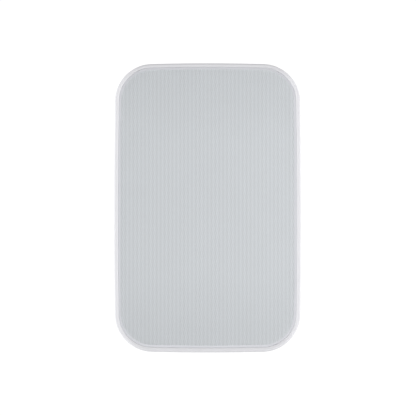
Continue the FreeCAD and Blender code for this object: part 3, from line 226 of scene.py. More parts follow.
class NodeSheet:
    """The nodes of one material or of the world."""

    def __init__(self, owner):
        owner.use_nodes = True
        self.owner = owner
        self.tree = owner.node_tree

    def node(self, kind, settings, inputs, output=0):
        """Add a node: its settings first, then the values or links of its sockets."""
        made = self.tree.nodes.new(kind)
        for name, value in settings.items():
            setattr(made, name, value)
        self.feed(made, inputs)
        return Value(self, made.outputs[output])

    def feed(self, made, inputs):
        """Set or link the sockets of a node."""
        for name, value in inputs.items():
            if isinstance(value, Value):
                self.tree.links.new(value.socket, made.inputs[name])
            else:
                made.inputs[name].default_value = value

    def maths(self, operation, *values):
        """Add a Math node."""
        return self.node("ShaderNodeMath", {"operation": operation}, dict(enumerate(values)))

    def mix(self, factor, first, second):
        """A colour between two colours."""
        inputs = {0: factor, 6: first, 7: second}
        return self.node("ShaderNodeMix", {"data_type": "RGBA"}, inputs, output=2)

    def place(self, stretch=(1, 1, 1), start=(0, 0, 0)):
        """Where a point of the surface is on the piece, in metres, measured from start and stretched."""
        spot = self.node("ShaderNodeTexCoord", {}, {}, output="Object")
        spot = self.node("ShaderNodeVectorMath", {"operation": "SUBTRACT"}, {0: spot, 1: start})
        return self.node("ShaderNodeVectorMath", {"operation": "MULTIPLY"}, {0: spot, 1: stretch})

    def length(self, spot):
        """The distance of a place from its start."""
        return self.node("ShaderNodeVectorMath", {"operation": "LENGTH"}, {0: spot}, output="Value")

    def axes(self, spot):
        """The three parts of a place or a direction."""
        return [self.node("ShaderNodeSeparateXYZ", {}, {0: spot}, output=axis) for axis in "XYZ"]

    def noise(self, grain, detail=2.0, stretch=(1, 1, 1)):
        """Soft noise from 0 to 1 whose grains are that size."""
        inputs = {"Vector": self.place(stretch), "Scale": 1 / grain, "Detail": detail}
        return self.node("ShaderNodeTexNoise", {}, inputs)

    def smooth_step(self, value, low, high):
        """0 below low, 1 above high, and an even bend between them."""
        inputs = {"Value": value, "From Min": low, "From Max": high}
        return self.node("ShaderNodeMapRange", {"interpolation_type": "SMOOTHSTEP"}, inputs)

    def wave(self, value, length):
        """A sine from 0 to 1 along a value in metres."""
        return self.maths("SINE", value * (WHOLE_TURN / length)) * 0.5 + 0.5

    def chequer(self, first, second):
        """1 where two waves are both high or both low, 0 where they differ."""
        return first * second + (1 - first) * (1 - second)


class Finish(NodeSheet):
    """One material, around a Principled shader."""

    def __init__(self, name):
        super().__init__(bpy.data.materials.new(name))
        self.shader = self.tree.nodes["Principled BSDF"]

    def tones(self, factor, colour, low, high):
        """Shades of one colour, from low to high as the factor goes from 0 to 1."""
        return self.mix(factor, shade(colour, low), shade(colour, high))

    def coat(self, inputs):
        """Set or link the sockets of the shader."""
        self.feed(self.shader, inputs)
        return self

    def relief(self, height, depth):
        """Bump from a height of 0 to 1 that stands for that depth."""
        bump = self.node("ShaderNodeBump", {}, {"Height": height, "Distance": depth})
        return self.coat({"Normal": bump})


def shade(colour, by):
    """A colour made lighter or darker, with full opacity."""
    return (*[min(channel * by, 1) for channel in colour], 1)


# Finishes


def moulded(name, colour, grain=0.45 * MM, depth=0.02 * MM, roughness=0.5, spread=0.03):
    """Moulded plastic with a fine eroded grain and broad, faint unevenness."""
    finish = Finish(name)
    grains = finish.noise(grain, detail=3)
    drift = finish.noise(55 * MM, detail=3)
    base = finish.tones(drift, colour, 1 - spread, 1 + spread)
    rough = roughness + (grains - 0.5) * 0.2
    finish.coat({"Base Color": base, "Roughness": rough})
    return finish.relief(grains, depth)


def cabinet_shell(name, colour):
    """Matt moulded shell: a smooth rim with a painted highlight on its inner slopes at the sides and painted
    shade on its inner slope along the top, and grained flanks behind it.
    """
    finish = Finish(name)
    across, along, up = finish.axes(finish.place())
    facing_across, _, facing_up = finish.axes(finish.node("ShaderNodeTexCoord", {}, {}, output="Normal"))
    behind_rim = finish.smooth_step(along, *FLANK_START)
    highlight_side = finish.smooth_step(finish.maths("ABSOLUTE", across), *PAINTED_HIGHLIGHT_REACH)
    painted_highlight_mask = highlight_side * (1 - finish.smooth_step(across * facing_across, *HIGHLIGHT_SLOPE_RANGE))
    shade_top = finish.smooth_step(up, *PAINTED_SHADE_HEIGHTS)
    painted_shade_mask = shade_top * (1 - finish.smooth_step(up * facing_up, *SHADE_SLOPE_RANGE))
    grains = finish.noise(1.0 * MM, detail=3)
    drift = finish.noise(55 * MM, detail=3)
    base = finish.tones(drift, colour, 0.988, 1.012)
    # Painted shade on the rim's inner slope along the top, then a painted highlight on its inner slopes at
    # the sides
    base = finish.mix(painted_shade_mask * (1 - behind_rim), base, shade(colour, PAINTED_TOP_SHADE))
    base = finish.mix(painted_highlight_mask * (1 - behind_rim), base, shade(colour, PAINTED_SIDE_HIGHLIGHT))
    rough = 0.5 + (grains - 0.5) * 0.2
    finish.coat({"Base Color": base, "Roughness": rough, "Specular IOR Level": 0.15})
    return finish.relief(grains * (behind_rim * 0.9 + 0.1), 0.09 * MM)


def powder_surface(finish, base, roughness):
    """Baked powder paint: a soft orange peel with a finer speckle on it."""
    peel = finish.noise(1.6 * MM, detail=1)
    speckle = finish.noise(0.3 * MM, detail=2)
    finish.coat({"Base Color": base, "Roughness": roughness + (speckle - 0.5) * 0.2})
    return finish.relief(peel * 0.7 + speckle * 0.3, 0.03 * MM)


def powder_coat(name, colour, roughness=POWDER_ROUGHNESS, spread=0.02):
    """Powder paint of one colour, with broad, faint unevenness."""
    finish = Finish(name)
    drift = finish.noise(40 * MM, detail=2)
    base = finish.tones(drift, colour, 1 - spread, 1 + spread)
    return powder_surface(finish, base, roughness)


def grille_paint(name, colour):
    """Powder paint, plain on the edge, with painted shade in faint stripes and beads by the slots, a painted
    falloff of light, painted shade along the top of the plain edge and a painted highlight on the bend.
    """
    finish = Finish(name)
    across, _, up = finish.axes(finish.place())
    # Painted shade: stripes darkest where the slots are widest, and beads in step with the rows of slots
    stripes = finish.wave(across - STRIPE_PITCH / 4, STRIPE_PITCH)
    beads = finish.chequer(finish.wave(across, BEAD_WIDTH), finish.wave(up, SLOT_PITCH))
    mottle = finish.noise(40 * MM, detail=2)
    tone = stripes * SLOT_SHADE_STRIPE_SHARE + beads * SLOT_SHADE_BEAD_SHARE + mottle * (1 - SLOT_SHADE_STRIPE_SHARE - SLOT_SHADE_BEAD_SHARE)
    # Painted falloff of light: brightest right of the middle, painted shade towards the left and both ends
    painted_shade_ends = finish.smooth_step(finish.maths("ABSOLUTE", up), *PAINTED_FALLOFF_ENDS)
    painted_shade_left = 0.5 - across * (1 / PAINTED_FALLOFF_WIDTH)
    drift = painted_shade_ends * PAINTED_FALLOFF_ENDS_SHARE + painted_shade_left * (1 - PAINTED_FALLOFF_ENDS_SHARE)
    dark, light = [
        finish.tones(drift, colour, *[level * by for by in PAINTED_FALLOFF_LEVELS])
        for level in (1 - PAINT_SPREAD, 1 + PAINT_SPREAD)
    ]
    tinted = [channel * tint for channel, tint in zip(colour, PLAIN_TINT)]
    # The plain edge's tint, with painted shade along its top
    plain = finish.tones(finish.smooth_step(up, *PAINTED_SHADE_HEIGHTS), tinted, 1, PAINTED_TOP_SHADE)
    part = finish.node("ShaderNodeAttribute", {"attribute_name": "part"}, {}, output="Fac")
    base = finish.mix(part, finish.mix(tone, dark, light), plain)
    # A painted highlight along the bend
    base = finish.mix(part - PLAIN, base, shade(colour, PAINTED_BEND_HIGHLIGHT))
    return powder_surface(finish, base, POWDER_ROUGHNESS)


def rubber(name, colour, roughness=0.62):
    """Moulded rubber with a pale bloom in patches."""
    finish = Finish(name)
    bloom = finish.noise(9 * MM, detail=4)
    grains = finish.noise(0.25 * MM, detail=2)
    base = finish.tones(finish.smooth_step(bloom, 0.45, 0.75), colour, 1, 1.7)
    finish.coat({"Base Color": base, "Roughness": roughness + (bloom - 0.5) * 0.25})
    return finish.relief(grains, 0.01 * MM)


def metal(name, colour, roughness=0.3, stretch=(1, 1, 1), grain=0.4 * MM):
    """Bare or plated metal with faint tarnish, and tool marks that are narrower along a stretched axis."""
    finish = Finish(name)
    marks = finish.noise(grain, detail=3, stretch=stretch)
    tarnish = finish.noise(6 * MM, detail=4)
    base = finish.tones(tarnish, colour, 0.85, 1.08)
    rough = roughness + (marks - 0.5) * 0.2 + (tarnish - 0.5) * 0.15
    finish.coat({"Base Color": base, "Roughness": rough, "Metallic": 1.0})
    return finish.relief(marks, 0.008 * MM)


def wound_wire(name, colour, wire):
    """Enamelled wire laid in close turns about an axis along Y, with painted shade in the grooves between the
    turns.
    """
    finish = Finish(name)
    along = finish.axes(finish.place())[1]
    turns = finish.wave(along, wire)
    enamel = finish.noise(3 * MM, detail=3)
    # Painted shade darkens the grooves between the turns
    base = finish.tones(turns, colour, 0.35, 1)
    finish.coat({"Base Color": base, "Roughness": 0.25 + enamel * 0.15, "Metallic": 0.85})
    return finish.relief(turns, wire / 3)


def ground_ferrite(name, colour):
    """Dark fired ferrite: fine pits and a faint ground sheen."""
    finish = Finish(name)
    pits = finish.noise(0.7 * MM, detail=5)
    stains = finish.noise(14 * MM, detail=3)
    base = finish.tones(stains, colour, 0.8, 1.4)
    finish.coat({"Base Color": base, "Roughness": 0.45 + pits * 0.3})
    return finish.relief(finish.smooth_step(pits, 0.3, 0.55), 0.05 * MM)


def woven(name, colour, thread, roughness=0.85):
    """Plain weave seen along Y: threads over and under in both ways."""
    finish = Finish(name)
    across, _, up = finish.axes(finish.place())
    warp, weft = finish.wave(across, 2 * thread), finish.wave(up, 2 * thread)
    cloth = finish.chequer(warp, weft)
    slubs = finish.noise(2.5 * MM, detail=3)
    base = finish.tones(cloth * 0.7 + slubs * 0.3, colour, 0.6, 1.25)
    finish.coat({"Base Color": base, "Roughness": roughness})
    return finish.relief(cloth, thread / 3)


def solder_mask(name, colour):
    """Board lacquer over copper tracks, which show as paler, raised strips."""
    finish = Finish(name)
    across, _, up = finish.axes(finish.place())
    strips = finish.smooth_step(finish.wave(across + up, 9 * MM), 0.55, 0.62)
    breaks = finish.smooth_step(finish.noise(12 * MM, detail=0), 0.42, 0.46)
    tracks = strips * breaks
    base = finish.tones(tracks, colour, 0.75, 1.35)
    finish.coat({"Base Color": base, "Roughness": 0.35 - tracks * 0.1})
    return finish.relief(tracks, 0.05 * MM)


def film_wrap(name, colour):
    """Glossy film on cans that lie along X, with darker bands and slightly milky patches."""
    finish = Finish(name)
    milk = finish.noise(7 * MM, detail=2, stretch=(1, 3, 3))
    ends = finish.wave(finish.axes(finish.place())[0], 19 * MM)
    base = finish.tones(finish.smooth_step(ends, 0.93, 0.97), colour, 1, 0.55)
    base = finish.mix(milk * 0.15, base, shade(WHITE, 1))
    finish.coat({"Base Color": base, "Roughness": 0.2 + milk * 0.15})
    return finish.relief(milk, 0.03 * MM)


def cement(name, colour):
    """Cast ceramic filler with open pores."""
    finish = Finish(name)
    pores = finish.noise(0.5 * MM, detail=5)
    base = finish.tones(pores, colour, 0.8, 1.05)
    finish.coat({"Base Color": base, "Roughness": 0.85 + (pores - 0.5) * 0.2})
    return finish.relief(pores, 0.12 * MM)


def sleeved_pair(name, left, right):
    """A pair of leads: one colour of sleeve left of the middle and another right of it."""
    finish = Finish(name)
    across = finish.axes(finish.place())[0]
    scuffs = finish.noise(4 * MM, detail=4)
    colour = finish.mix(finish.smooth_step(across, -0.2 * MM, 0.2 * MM), shade(left, 1), shade(right, 1))
    base = finish.mix(scuffs * 0.2, colour, shade(WHITE, 0.5))
    finish.coat({"Base Color": base, "Roughness": 0.4 + scuffs * 0.2})
    return finish.relief(scuffs, 0.03 * MM)


def cone_skin(name, colour, centre):
    """Moulded cone: fine rings about its middle, a ground texture and a low sheen."""
    finish = Finish(name)
    radius = finish.length(finish.place((1, 0, 1), centre))
    rings = finish.wave(radius, 3.2 * MM)
    grains = finish.noise(0.5 * MM, detail=3)
    base = finish.tones(grains, colour, 0.75, 1.3)
    finish.coat({"Base Color": base, "Roughness": 0.4 + grains * 0.2})
    return finish.relief(rings * 0.6 + grains * 0.4, 0.12 * MM)


def middle(node):
    """The middle of a CAD piece's box."""
    low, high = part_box(node)
    return (low + high) / 2


def make_finishes():
    """One finish for each material slot of the record."""
    woofer_middle = middle("woofer_cone")
    return {
        "cabinet_white": cabinet_shell("cabinet_white", (0.713, 0.712, 0.736)),
        "grille_white": grille_paint("grille_white", (0.73, 0.761, 0.787)),
        "bracket_white": powder_coat("bracket_white", (0.84, 0.84, 0.85)),
        "knob_grey": moulded("knob_grey", (0.55, 0.56, 0.58), roughness=0.45),
        "scrim_cloth": woven("scrim_cloth", (0.78, 0.795, 0.81), 0.35 * MM),
        "baffle_black": moulded("baffle_black", (0.028, 0.028, 0.03), 0.9 * MM, 0.06 * MM, 0.5, 0.15),
        "seal_rubber": rubber("seal_rubber", (0.02, 0.02, 0.02)),
        "steel": metal("steel", (0.60, 0.60, 0.61), 0.3),
        "zinc": metal("zinc", (0.66, 0.67, 0.62), 0.35),
        "frame_black": powder_coat("frame_black", (0.022, 0.022, 0.024), 0.45, 0.15),
        "cone_black": cone_skin("cone_black", (0.024, 0.024, 0.026), woofer_middle),
        "surround_rubber": rubber("surround_rubber", (0.014, 0.014, 0.015), 0.5),
        "spider_cloth": woven("spider_cloth", (0.55, 0.30, 0.08), 0.5 * MM),
        "former_aluminium": metal("former_aluminium", (0.72, 0.72, 0.74), 0.3, (1, 8, 1)),
        "copper": wound_wire("copper", (0.75, 0.33, 0.15), 0.8 * MM),
        "ferrite": ground_ferrite("ferrite", (0.035, 0.035, 0.038)),
        "dome_silk": woven("dome_silk", (0.03, 0.03, 0.034), 0.25 * MM, 0.6),
        "board": solder_mask("board", (0.03, 0.16, 0.06)),
        "bobbin": moulded("bobbin", (0.03, 0.03, 0.03), spread=0.15),
        "capacitor": film_wrap("capacitor", (0.70, 0.45, 0.04)),
        "resistor": cement("resistor", (0.82, 0.80, 0.75)),
        "brass": metal("brass", (0.78, 0.58, 0.24), 0.3),
        "post_gold": metal("post_gold", (0.88, 0.64, 0.24), 0.18),
        "cap_red": moulded("cap_red", (0.45, 0.012, 0.012), roughness=0.3, spread=0.06),
        "cap_black": moulded("cap_black", (0.015, 0.015, 0.016), roughness=0.3, spread=0.12),
        "lead_sleeve": sleeved_pair("lead_sleeve", (0.40, 0.015, 0.015), (0.02, 0.02, 0.02)),
        "cup_grey": moulded("cup_grey", (0.74, 0.74, 0.75), roughness=0.5),
    }


# Meshes


def new_piece(name, points, faces, slot, smooth=True):
    """A mesh piece with the finish of a material slot."""
    mesh = bpy.data.meshes.new(name)
    mesh.from_pydata(points, [], faces)
    mesh.validate()
    piece = bpy.data.objects.new(name, mesh)
    bpy.context.scene.collection.objects.link(piece)
    mesh.materials.append(finishes[slot].owner)
    if smooth:
        mesh.shade_smooth()
    return piece


def weld(piece):
    """Join points that lie on each other and turn all faces outwards."""
    work = bmesh.new()
    work.from_mesh(piece.data)
    bmesh.ops.remove_doubles(work, verts=work.verts, dist=WELD_REACH)
    bmesh.ops.recalc_face_normals(work, faces=work.faces)
    work.to_mesh(piece.data)
    work.free()


def soften(piece, degrees=35):
    """Smooth shading that keeps edges sharper than an angle."""
    piece.data.set_sharp_from_angle(angle=math.radians(degrees))
    return piece


def corner_arc(half_width, half_height):
    """Centre of the top right corner's arc, and the angles at which the bowed side and end meet it."""
    side, end = Vector((half_width - SIDE_BOW, 0)), Vector((0, half_height - END_BOW))
    side_reach, end_reach = SIDE_BOW - CORNER, END_BOW - CORNER
    apart = end - side
    along = (apart.length_squared + side_reach**2 - end_reach**2) / (2 * apart.length)
    off = math.sqrt(side_reach**2 - along**2)
    unit = apart.normalized()
    foot, square = side + unit * along, Vector((-unit.y, unit.x)) * off
    centre = max(foot + square, foot - square, key=lambda point: point.x + point.y)
    return centre, math.atan2(centre.y, centre.x - side.x), math.atan2(centre.y - end.y, centre.x)


def front_outline(inset, side_steps=16, corner_steps=22, end_steps=12):
    """Points (x, z) round the front, that far in from the rim's edge, anticlockwise from the right."""
    low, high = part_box("rear_cabinet")
    half_width, half_height = (high.x - low.x) / 2, (high.z - low.z) / 2
    centre, side_angle, end_angle = corner_arc(half_width, half_height)
    quarter = []
    for bow_centre, radius, start, end, steps in (
        (Vector((half_width - SIDE_BOW, 0)), SIDE_BOW, 0, side_angle, side_steps),
        (centre, CORNER, side_angle, end_angle, corner_steps),
        (Vector((0, half_height - END_BOW)), END_BOW, end_angle, math.pi / 2, end_steps),
    ):
        for i in range(steps):
            angle = start + (end - start) * i / steps
            quarter.append(bow_centre + Vector((math.cos(angle), math.sin(angle))) * (radius - inset))
    top = Vector((0, half_height - inset))
    right_top = [*quarter, top]
    left_top = [Vector((-x, z)) for x, z in reversed(quarter)]
    lower = [Vector((-x, -z)) for x, z in (right_top + left_top)[1:-1]]
    return right_top + left_top + lower


def skin_loops(points, faces, loops, closed=False):
    """Quads between loops of points that run alongside each other."""
    size = len(loops[0])
    first = len(points)
    for loop in loops:
        points.extend(loop)
    pairs = list(zip(range(len(loops)), range(1, len(loops))))
    for low, high in pairs + [(len(loops) - 1, 0)] * closed:
        for i in range(size):
            j = (i + 1) % size
            a, b = first + low * size, first + high * size
            faces.append((a + i, a + j, b + j, b + i))


def turned(profile, centre, steps=96, flute=None):
    """Points and quads of a closed profile (radius, along +Y) turned about an axis through centre."""
    loops = []
    for radius, along in profile:
        loop = []
        for i in range(steps):
            turn = WHOLE_TURN * i / steps
            reach = flute(radius, turn) if flute else radius
            loop.append(centre + Vector((reach * math.cos(turn), along, reach * math.sin(turn))))
        loops.append(loop)
    points, faces = [], []
    skin_loops(points, faces, loops, closed=True)
    return points, faces


def arc(centre, radius, start, end, steps):
    """Points of a profile along an arc, with angles in degrees."""
    angles = [math.radians(start + (end - start) * i / steps) for i in range(steps + 1)]
    across, along = centre
    return [(across + radius * math.cos(angle), along + radius * math.sin(angle)) for angle in angles]


# Pieces


def height_at(outline, x):
    """How far up a convex outline about the origin reaches at x, or 0 beyond its sides."""
    for a, b in zip(outline, outline[1:]):
        if a.y > 0 and b.y > 0 and b.x <= x <= a.x:
            return a.y + (b.y - a.y) * (a.x - x) / (a.x - b.x)
    return 0


def upright_slots(field):
    """Corners (x, z) of each slot in a field, column by column."""
    scatter = random.Random(SLOT_SEED)
    column = STRIPE_PITCH / COLUMNS_IN_STRIPE
    last = int(max(point.x for point in field) / column)
    rows = int(max(point.y for point in field) / SLOT_PITCH) + 1
    for i in range(-last, last + 1):
        stripe = 1 + STRIPE_DEPTH * math.cos(WHOLE_TURN * i / COLUMNS_IN_STRIPE)
        lean = (-1) ** (i // COLUMNS_IN_LEG)
        rise = lean * SLOT_STAGGER * i % 1
        for j in range(-rows, rows + 1):
            half = SLOT_WIDTH / 2 * (stripe + scatter.uniform(-SLOT_SCATTER, SLOT_SCATTER))
            left, right = i * column - half, i * column + half
            reach = min(height_at(field, left), height_at(field, right))
            middle_height = (j + rise) * SLOT_PITCH
            low = max(middle_height - SLOT_LENGTH / 2, -reach)
            high = min(middle_height + SLOT_LENGTH / 2, reach)
            if high - low > SHORTEST_SLOT:
                corners = (left, low), (right, low), (right, high), (left, high)
                yield [Vector(corner) for corner in corners]


def slotted_plate(outlines, field, front, back):
    """Points and faces of a flat plate with slots through it, and which of the points are slot corners.

    The first outline (x, z) is the plate's edge, and the others are lines drawn on it.
    """
    spots, edges, slots = [], [], []
    for outline in outlines:
        first, size = len(spots), len(outline)
        spots.extend(outline)
        edges.extend((first + i, first + (i + 1) % size) for i in range(size))
    for corners in upright_slots(field):
        slot = [len(spots) + i for i in range(4)]
        spots.extend(corners)
        edges.extend((slot[i - 1], slot[i]) for i in range(4))
        slots.append(slot)
    slot_of = {index: number for number, slot in enumerate(slots) for index in slot}
    within_edge, weld_reach = 1, 1e-9
    spots, _, triangles, _, _, _ = delaunay_2d_cdt(spots, edges, [], within_edge, weld_reach)
    solid = [triangle for triangle in triangles if not within_one_slot(triangle, slot_of)]
    size = len(spots)
    points = [Vector((x, level, z)) for level in (front, back) for x, z in spots]
    faces = [tuple(triangle) for triangle in solid]
    faces += [tuple(size + index for index in reversed(triangle)) for triangle in solid]
    for slot in slots:
        faces += [(slot[i - 1], slot[i - 1] + size, slot[i] + size, slot[i]) for i in range(4)]
    return points, faces, [index % size in slot_of for index in range(len(points))]


def within_one_slot(triangle, slot_of):
    """Whether all corners of a triangle are corners of the same slot."""
    first = slot_of.get(triangle[0])
    return first is not None and all(slot_of.get(index) == first for index in triangle)


def build_grille():
    """Pressed pan: a slotted face, a round bend and a skirt, all of one thin sheet."""
    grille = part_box("grille")
    inset = RIM_WIDTH + GRILLE_GAP
    front, back = grille[0].y, grille[1].y
    edge, border, field = [front_outline(inset + SHEET + step) for step in (0, PLAIN_EDGE, SLOT_MARGIN)]
    points, faces, at_slot = slotted_plate([edge, border], field, front, front + SHEET)
    rings = [(inset + SHEET, front)]
    for i in range(BEND_STEPS + 1):
        turn = math.pi / 2 * i / BEND_STEPS
        rings.append((inset + BEND * (1 - math.sin(turn)), front + BEND * (1 - math.cos(turn))))
    rings += [(inset, back), (inset + SHEET, back), (inset + SHEET, front + SHEET)]
    skin_loops(points, faces, [[Vector((x, y, z)) for x, z in front_outline(step)] for step, y in rings])
    piece = new_piece("slotted_grille", points, faces, "grille_white")
    parts = [AT_SLOT if slot else PLAIN for slot in at_slot]
    ring_parts = [PLAIN] + [ON_BEND] * BEND_STEPS + [PLAIN] * (len(rings) - BEND_STEPS - 1)
    parts += [part for part in ring_parts for _ in edge]
    piece.data.attributes.new("part", "FLOAT", "POINT").data.foreach_set("value", parts)
    weld(piece)
    soften(piece)
    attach(piece, "grille")
    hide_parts("grille")


def build_scrim():
    """Thin pale cloth stretched behind the slotted face."""
    cabinet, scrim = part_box("rear_cabinet"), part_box("grille_scrim")
    outline = front_outline(cabinet[1].x - scrim[1].x)
    level = scrim[0].y + SCRIM_STEP
    points, faces = [], []
    loops = []
    for i in range(SCRIM_RINGS):
        share = 1 - i / SCRIM_RINGS
        loops.append([Vector((x * share, level, z * share)) for x, z in outline])
    skin_loops(points, faces, loops)
    last = len(points) - len(outline)
    points.append(Vector((0, level, 0)))
    for i in range(len(outline)):
        faces.append((last + i, last + (i + 1) % len(outline), len(points) - 1))
    piece = new_piece("scrim_sheet", points, faces, "scrim_cloth")
    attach(piece, "grille")
    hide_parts("grille_scrim")


def hang_on_cone(piece, centre, outer, inner):
    """Bake a ring's placement into its mesh, and reckon each point's share between the outer and the inner
    radius, which is not used.
    """
    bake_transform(piece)
    for vertex in piece.data.vertices:
        radius = math.hypot(vertex.co.x - centre.x, vertex.co.z - centre.z)
        share = min(max((outer - radius) / (outer - inner), 0), 1)
        share * share * (3 - 2 * share)


def build_surround():
    """Half roll of rubber with a flat lip on the frame and one on the cone."""
    low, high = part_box("woofer_surround")
    outer = (high.x - low.x) / 2
    centre = Vector(((low.x + high.x) / 2, low.y + ROLL_RADIUS, (low.z + high.z) / 2))
    lip = -ROLL_SINK
    skin = ROLL_RADIUS - ROLL_SKIN
    lean = math.degrees(math.asin(ROLL_SINK / ROLL_RADIUS))
    under_lean = math.degrees(math.asin((ROLL_SINK - ROLL_SKIN) / skin))
    profile = [(outer, lip + ROLL_SKIN), (outer, lip)]
    profile += arc((ROLL_MIDDLE, 0), ROLL_RADIUS, -lean, lean - 180, ROLL_STEPS)
    profile += [(CONE_LIP, lip), (CONE_LIP, lip + ROLL_SKIN)]
    profile += arc((ROLL_MIDDLE, 0), skin, under_lean - 180, -under_lean, ROLL_STEPS)
    points, faces = turned(profile, centre)
    piece = soften(new_piece("woofer_roll", points, faces, "surround_rubber"))
    hang_on_cone(piece, centre, ROLL_MIDDLE + ROLL_RADIUS, ROLL_MIDDLE - ROLL_RADIUS)
    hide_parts("woofer_surround")


def build_spider():
    """Corrugated cloth disc that centres the voice coil."""
    low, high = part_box("woofer_spider")
    outer = (high.x - low.x) / 2
    centre = Vector(((low.x + high.x) / 2, high.y, (low.z + high.z) / 2))
    rise = high.y - low.y - SPIDER_SKIN
    under = [(SPIDER_BORE, 0)]
    steps = SPIDER_WAVES * STEPS_IN_WAVE
    for i in range(steps + 1):
        share = i / steps
        swell = (1 - math.cos(WHOLE_TURN * SPIDER_WAVES * share)) / 2
        under.append((SPIDER_FLAT + (SPIDER_SEAT - SPIDER_FLAT) * share, -rise * swell))
    under.append((outer, 0))
    over = [(radius, along - SPIDER_SKIN) for radius, along in reversed(under)]
    points, faces = turned(under + over, centre)
    piece = soften(new_piece("woofer_folds", points, faces, "spider_cloth"))
    hang_on_cone(piece, centre, SPIDER_SEAT, SPIDER_FLAT)
    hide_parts("woofer_spider")


def build_cap(node, body, slot):
    """Fluted screw cap with a hole in its end for a plug."""
    low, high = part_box(node)
    radius, length = (high.x - low.x) / 2, high.y - low.y
    centre = Vector(((low.x + high.x) / 2, low.y, (low.z + high.z) / 2))
    top = radius - CAP_CHAMFER
    profile = [
        (CAP_BORE, 0), (top, 0), (radius, CAP_CHAMFER), (radius, length - CAP_CHAMFER), (top, length),
        (CAP_MOUTH, length), (CAP_MOUTH, length - CAP_END), (CAP_BORE, length - CAP_END),
    ]

    def flute(reach, turn):
        groove = (0.5 + 0.5 * math.cos(CAP_FLUTES * turn)) ** 2
        return reach - CAP_FLUTE_DEPTH * groove * (reach == radius)

    points, faces = turned(profile, centre, CAP_FLUTES * STEPS_IN_FLUTE, flute)
    piece = soften(new_piece(f"fluted_{node}", points, faces, slot))
    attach(piece, body)
    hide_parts(node)


def build_mark(name, post, outline):
    """Raised mark on the terminal cup's flange, below a post. The outline takes its arm and half width."""
    low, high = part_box("terminal_cup")
    foot = Vector((middle(post).x, high.y, low.z + MARK_HEIGHT))
    loops = []
    for taper, rise in ((0, -MARK_TAPER), (0, MARK_PROUD - MARK_TAPER), (MARK_TAPER, MARK_PROUD)):
        corners = outline(MARK_ARM - taper, MARK_HALF - taper)
        loops.append([foot + Vector((x, rise, z)) for x, z in corners])
    points, faces = [], []
    skin_loops(points, faces, loops)
    size = len(loops[0])
    faces += [tuple(range(size)), tuple(range(len(points) - size, len(points)))]
    piece = new_piece(name, points, faces, "cap_black", smooth=False)
    weld(piece)
    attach(piece, "cabinet")


def minus(arm, half):
    """Corners (x, z) of a bar."""
    return [(arm, -half), (arm, half), (-arm, half), (-arm, -half)]


def plus(arm, half):
    """Corners (x, z) of a cross."""
    quarter = [(arm, -half), (arm, half), (half, half)]
    turns = [lambda x, z: (x, z), lambda x, z: (-z, x), lambda x, z: (-x, -z), lambda x, z: (z, -x)]
    return [turn(x, z) for turn in turns for x, z in quarter]


def dress_cad():
    """Give each CAD piece the finish of its slot in the record."""
    for part in frame["record"]["subparts"]:
        node = frame["nodes"][part["node"]]
        node.data.materials.clear()
        node.data.materials.append(finishes[part["material_slot"]].owner)
        close_slivers(node)


def close_slivers(node):
    """Weld the corners of collapsed faces, which would tip the shading around them."""
    slivers = [polygon for polygon in node.data.polygons if polygon.area < SLIVER_AREA]
    if slivers:
        group = node.vertex_groups.new(name="sliver_corners")
        group.add(sorted({index for polygon in slivers for index in polygon.vertices}), 1.0, "REPLACE")
        joiner = node.modifiers.new("close_slivers", "WELD")
        joiner.merge_threshold = SLIVER_REACH
        joiner.vertex_group = group.name


# Stage


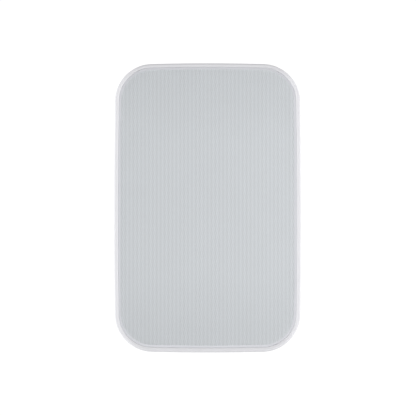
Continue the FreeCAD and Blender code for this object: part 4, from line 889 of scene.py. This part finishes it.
def build_stage():
    """A wide pale floor well below the speaker, and a soft sky that is brightest at the horizon."""
    half = FLOOR_HALF
    corners = [(-half, -half), (half, -half), (half, half), (-half, half)]
    mesh = bpy.data.meshes.new("floor")
    mesh.from_pydata([(x, y, -FLOOR_DROP) for x, y in corners], [], [(0, 1, 2, 3)])
    floor = bpy.data.objects.new("floor", mesh)
    bpy.context.scene.collection.objects.link(floor)
    paper = Finish("floor_paper")
    far = paper.smooth_step(paper.length(paper.place((1, 1, 0))), *FLOOR_FADE)
    near = paper.tones(paper.noise(0.3, detail=2), WHITE, 0.87, 0.9)
    paper.coat({
        "Base Color": paper.mix(far, near, shade(WHITE, 0)),
        "Roughness": 0.9,
        "Specular IOR Level": 0.0,
        "Emission Color": paper.tones(far, WHITE, 0.22, 1),
        "Emission Strength": WHITE_GAIN,
    })
    mesh.materials.append(paper.owner)

    world = bpy.data.worlds.new("studio")
    bpy.context.scene.world = world
    sky = NodeSheet(world)
    _, back, up = sky.axes(sky.node("ShaderNodeTexCoord", {}, {}, output="Generated"))
    front, flank, white, above = [shade(WHITE, level) for level in (0.82, 0.66, 1, 0.4)]
    band = sky.mix(sky.smooth_step(back, -0.3, 0.1), front, flank)
    band = sky.mix(sky.smooth_step(back, 0.9, 0.97), band, white)
    height = sky.maths("ABSOLUTE", up)
    band = sky.mix(sky.smooth_step(height, 0.06, 0.14), white, band)
    colour = sky.mix(sky.smooth_step(height, 0.2, 0.7), band, above)
    sky.feed(sky.tree.nodes["Background"], {"Color": colour, "Strength": WHITE_GAIN})


def softbox(name, place, size, power):
    """A rectangular light of some watts that faces the speaker."""
    light = bpy.data.lights.new(name, "AREA")
    light.shape = "RECTANGLE"
    light.size, light.size_y = size
    light.energy = power
    lamp = bpy.data.objects.new(name, light)
    lamp.location = place
    lamp.rotation_euler = (LIT_POINT - Vector(place)).to_track_quat("-Z", "Y").to_euler()
    bpy.context.scene.collection.objects.link(lamp)


def build_lights():
    """Soft light from both sides, stronger from the left, and a weak fill in front on the right."""
    softbox("left_softbox", place=(-2.0, -0.5, 0.1), size=(0.8, 1.4), power=24)
    softbox("right_softbox", place=(1.7, -0.6, 0.05), size=(0.7, 1.2), power=11.5)
    softbox("right_fill", place=(0.9, -0.9, 0.0), size=(0.5, 0.6), power=1.8)


def build_camera():
    """The photograph's view: square on to the front, a little below its middle."""
    camera = bpy.data.cameras.new("camera")
    camera.lens = CAMERA_LENS
    camera.sensor_width = CAMERA_SENSOR
    camera.shift_x = (PHOTO_PIXELS / 2 - OUTLINE_CENTRE[0]) / PHOTO_PIXELS
    camera.shift_y = (OUTLINE_CENTRE[1] - PHOTO_PIXELS / 2) / PHOTO_PIXELS
    eye = bpy.data.objects.new("camera", camera)
    away = PHOTO_PIXELS * PIXEL * CAMERA_LENS / CAMERA_SENSOR
    target = Vector((0, cad_box[0].y, 0))
    back = Vector((0, -math.cos(CAMERA_RISE), math.sin(CAMERA_RISE)))
    eye.location = target + back * away
    eye.rotation_euler = (-back).to_track_quat("-Z", "Y").to_euler()
    bpy.context.scene.collection.objects.link(eye)
    bpy.context.scene.camera = eye


finishes = make_finishes()
dress_cad()
build_grille()
build_scrim()
build_surround()
build_spider()
build_cap("red_cap", "red_cap", "cap_red")
build_cap("black_cap", "black_cap", "cap_black")
build_mark("plus_mark", "red_post", plus)
build_mark("minus_mark", "black_post", minus)
build_stage()
build_lights()
build_camera()
bpy.context.scene.view_settings.view_transform = "Standard"
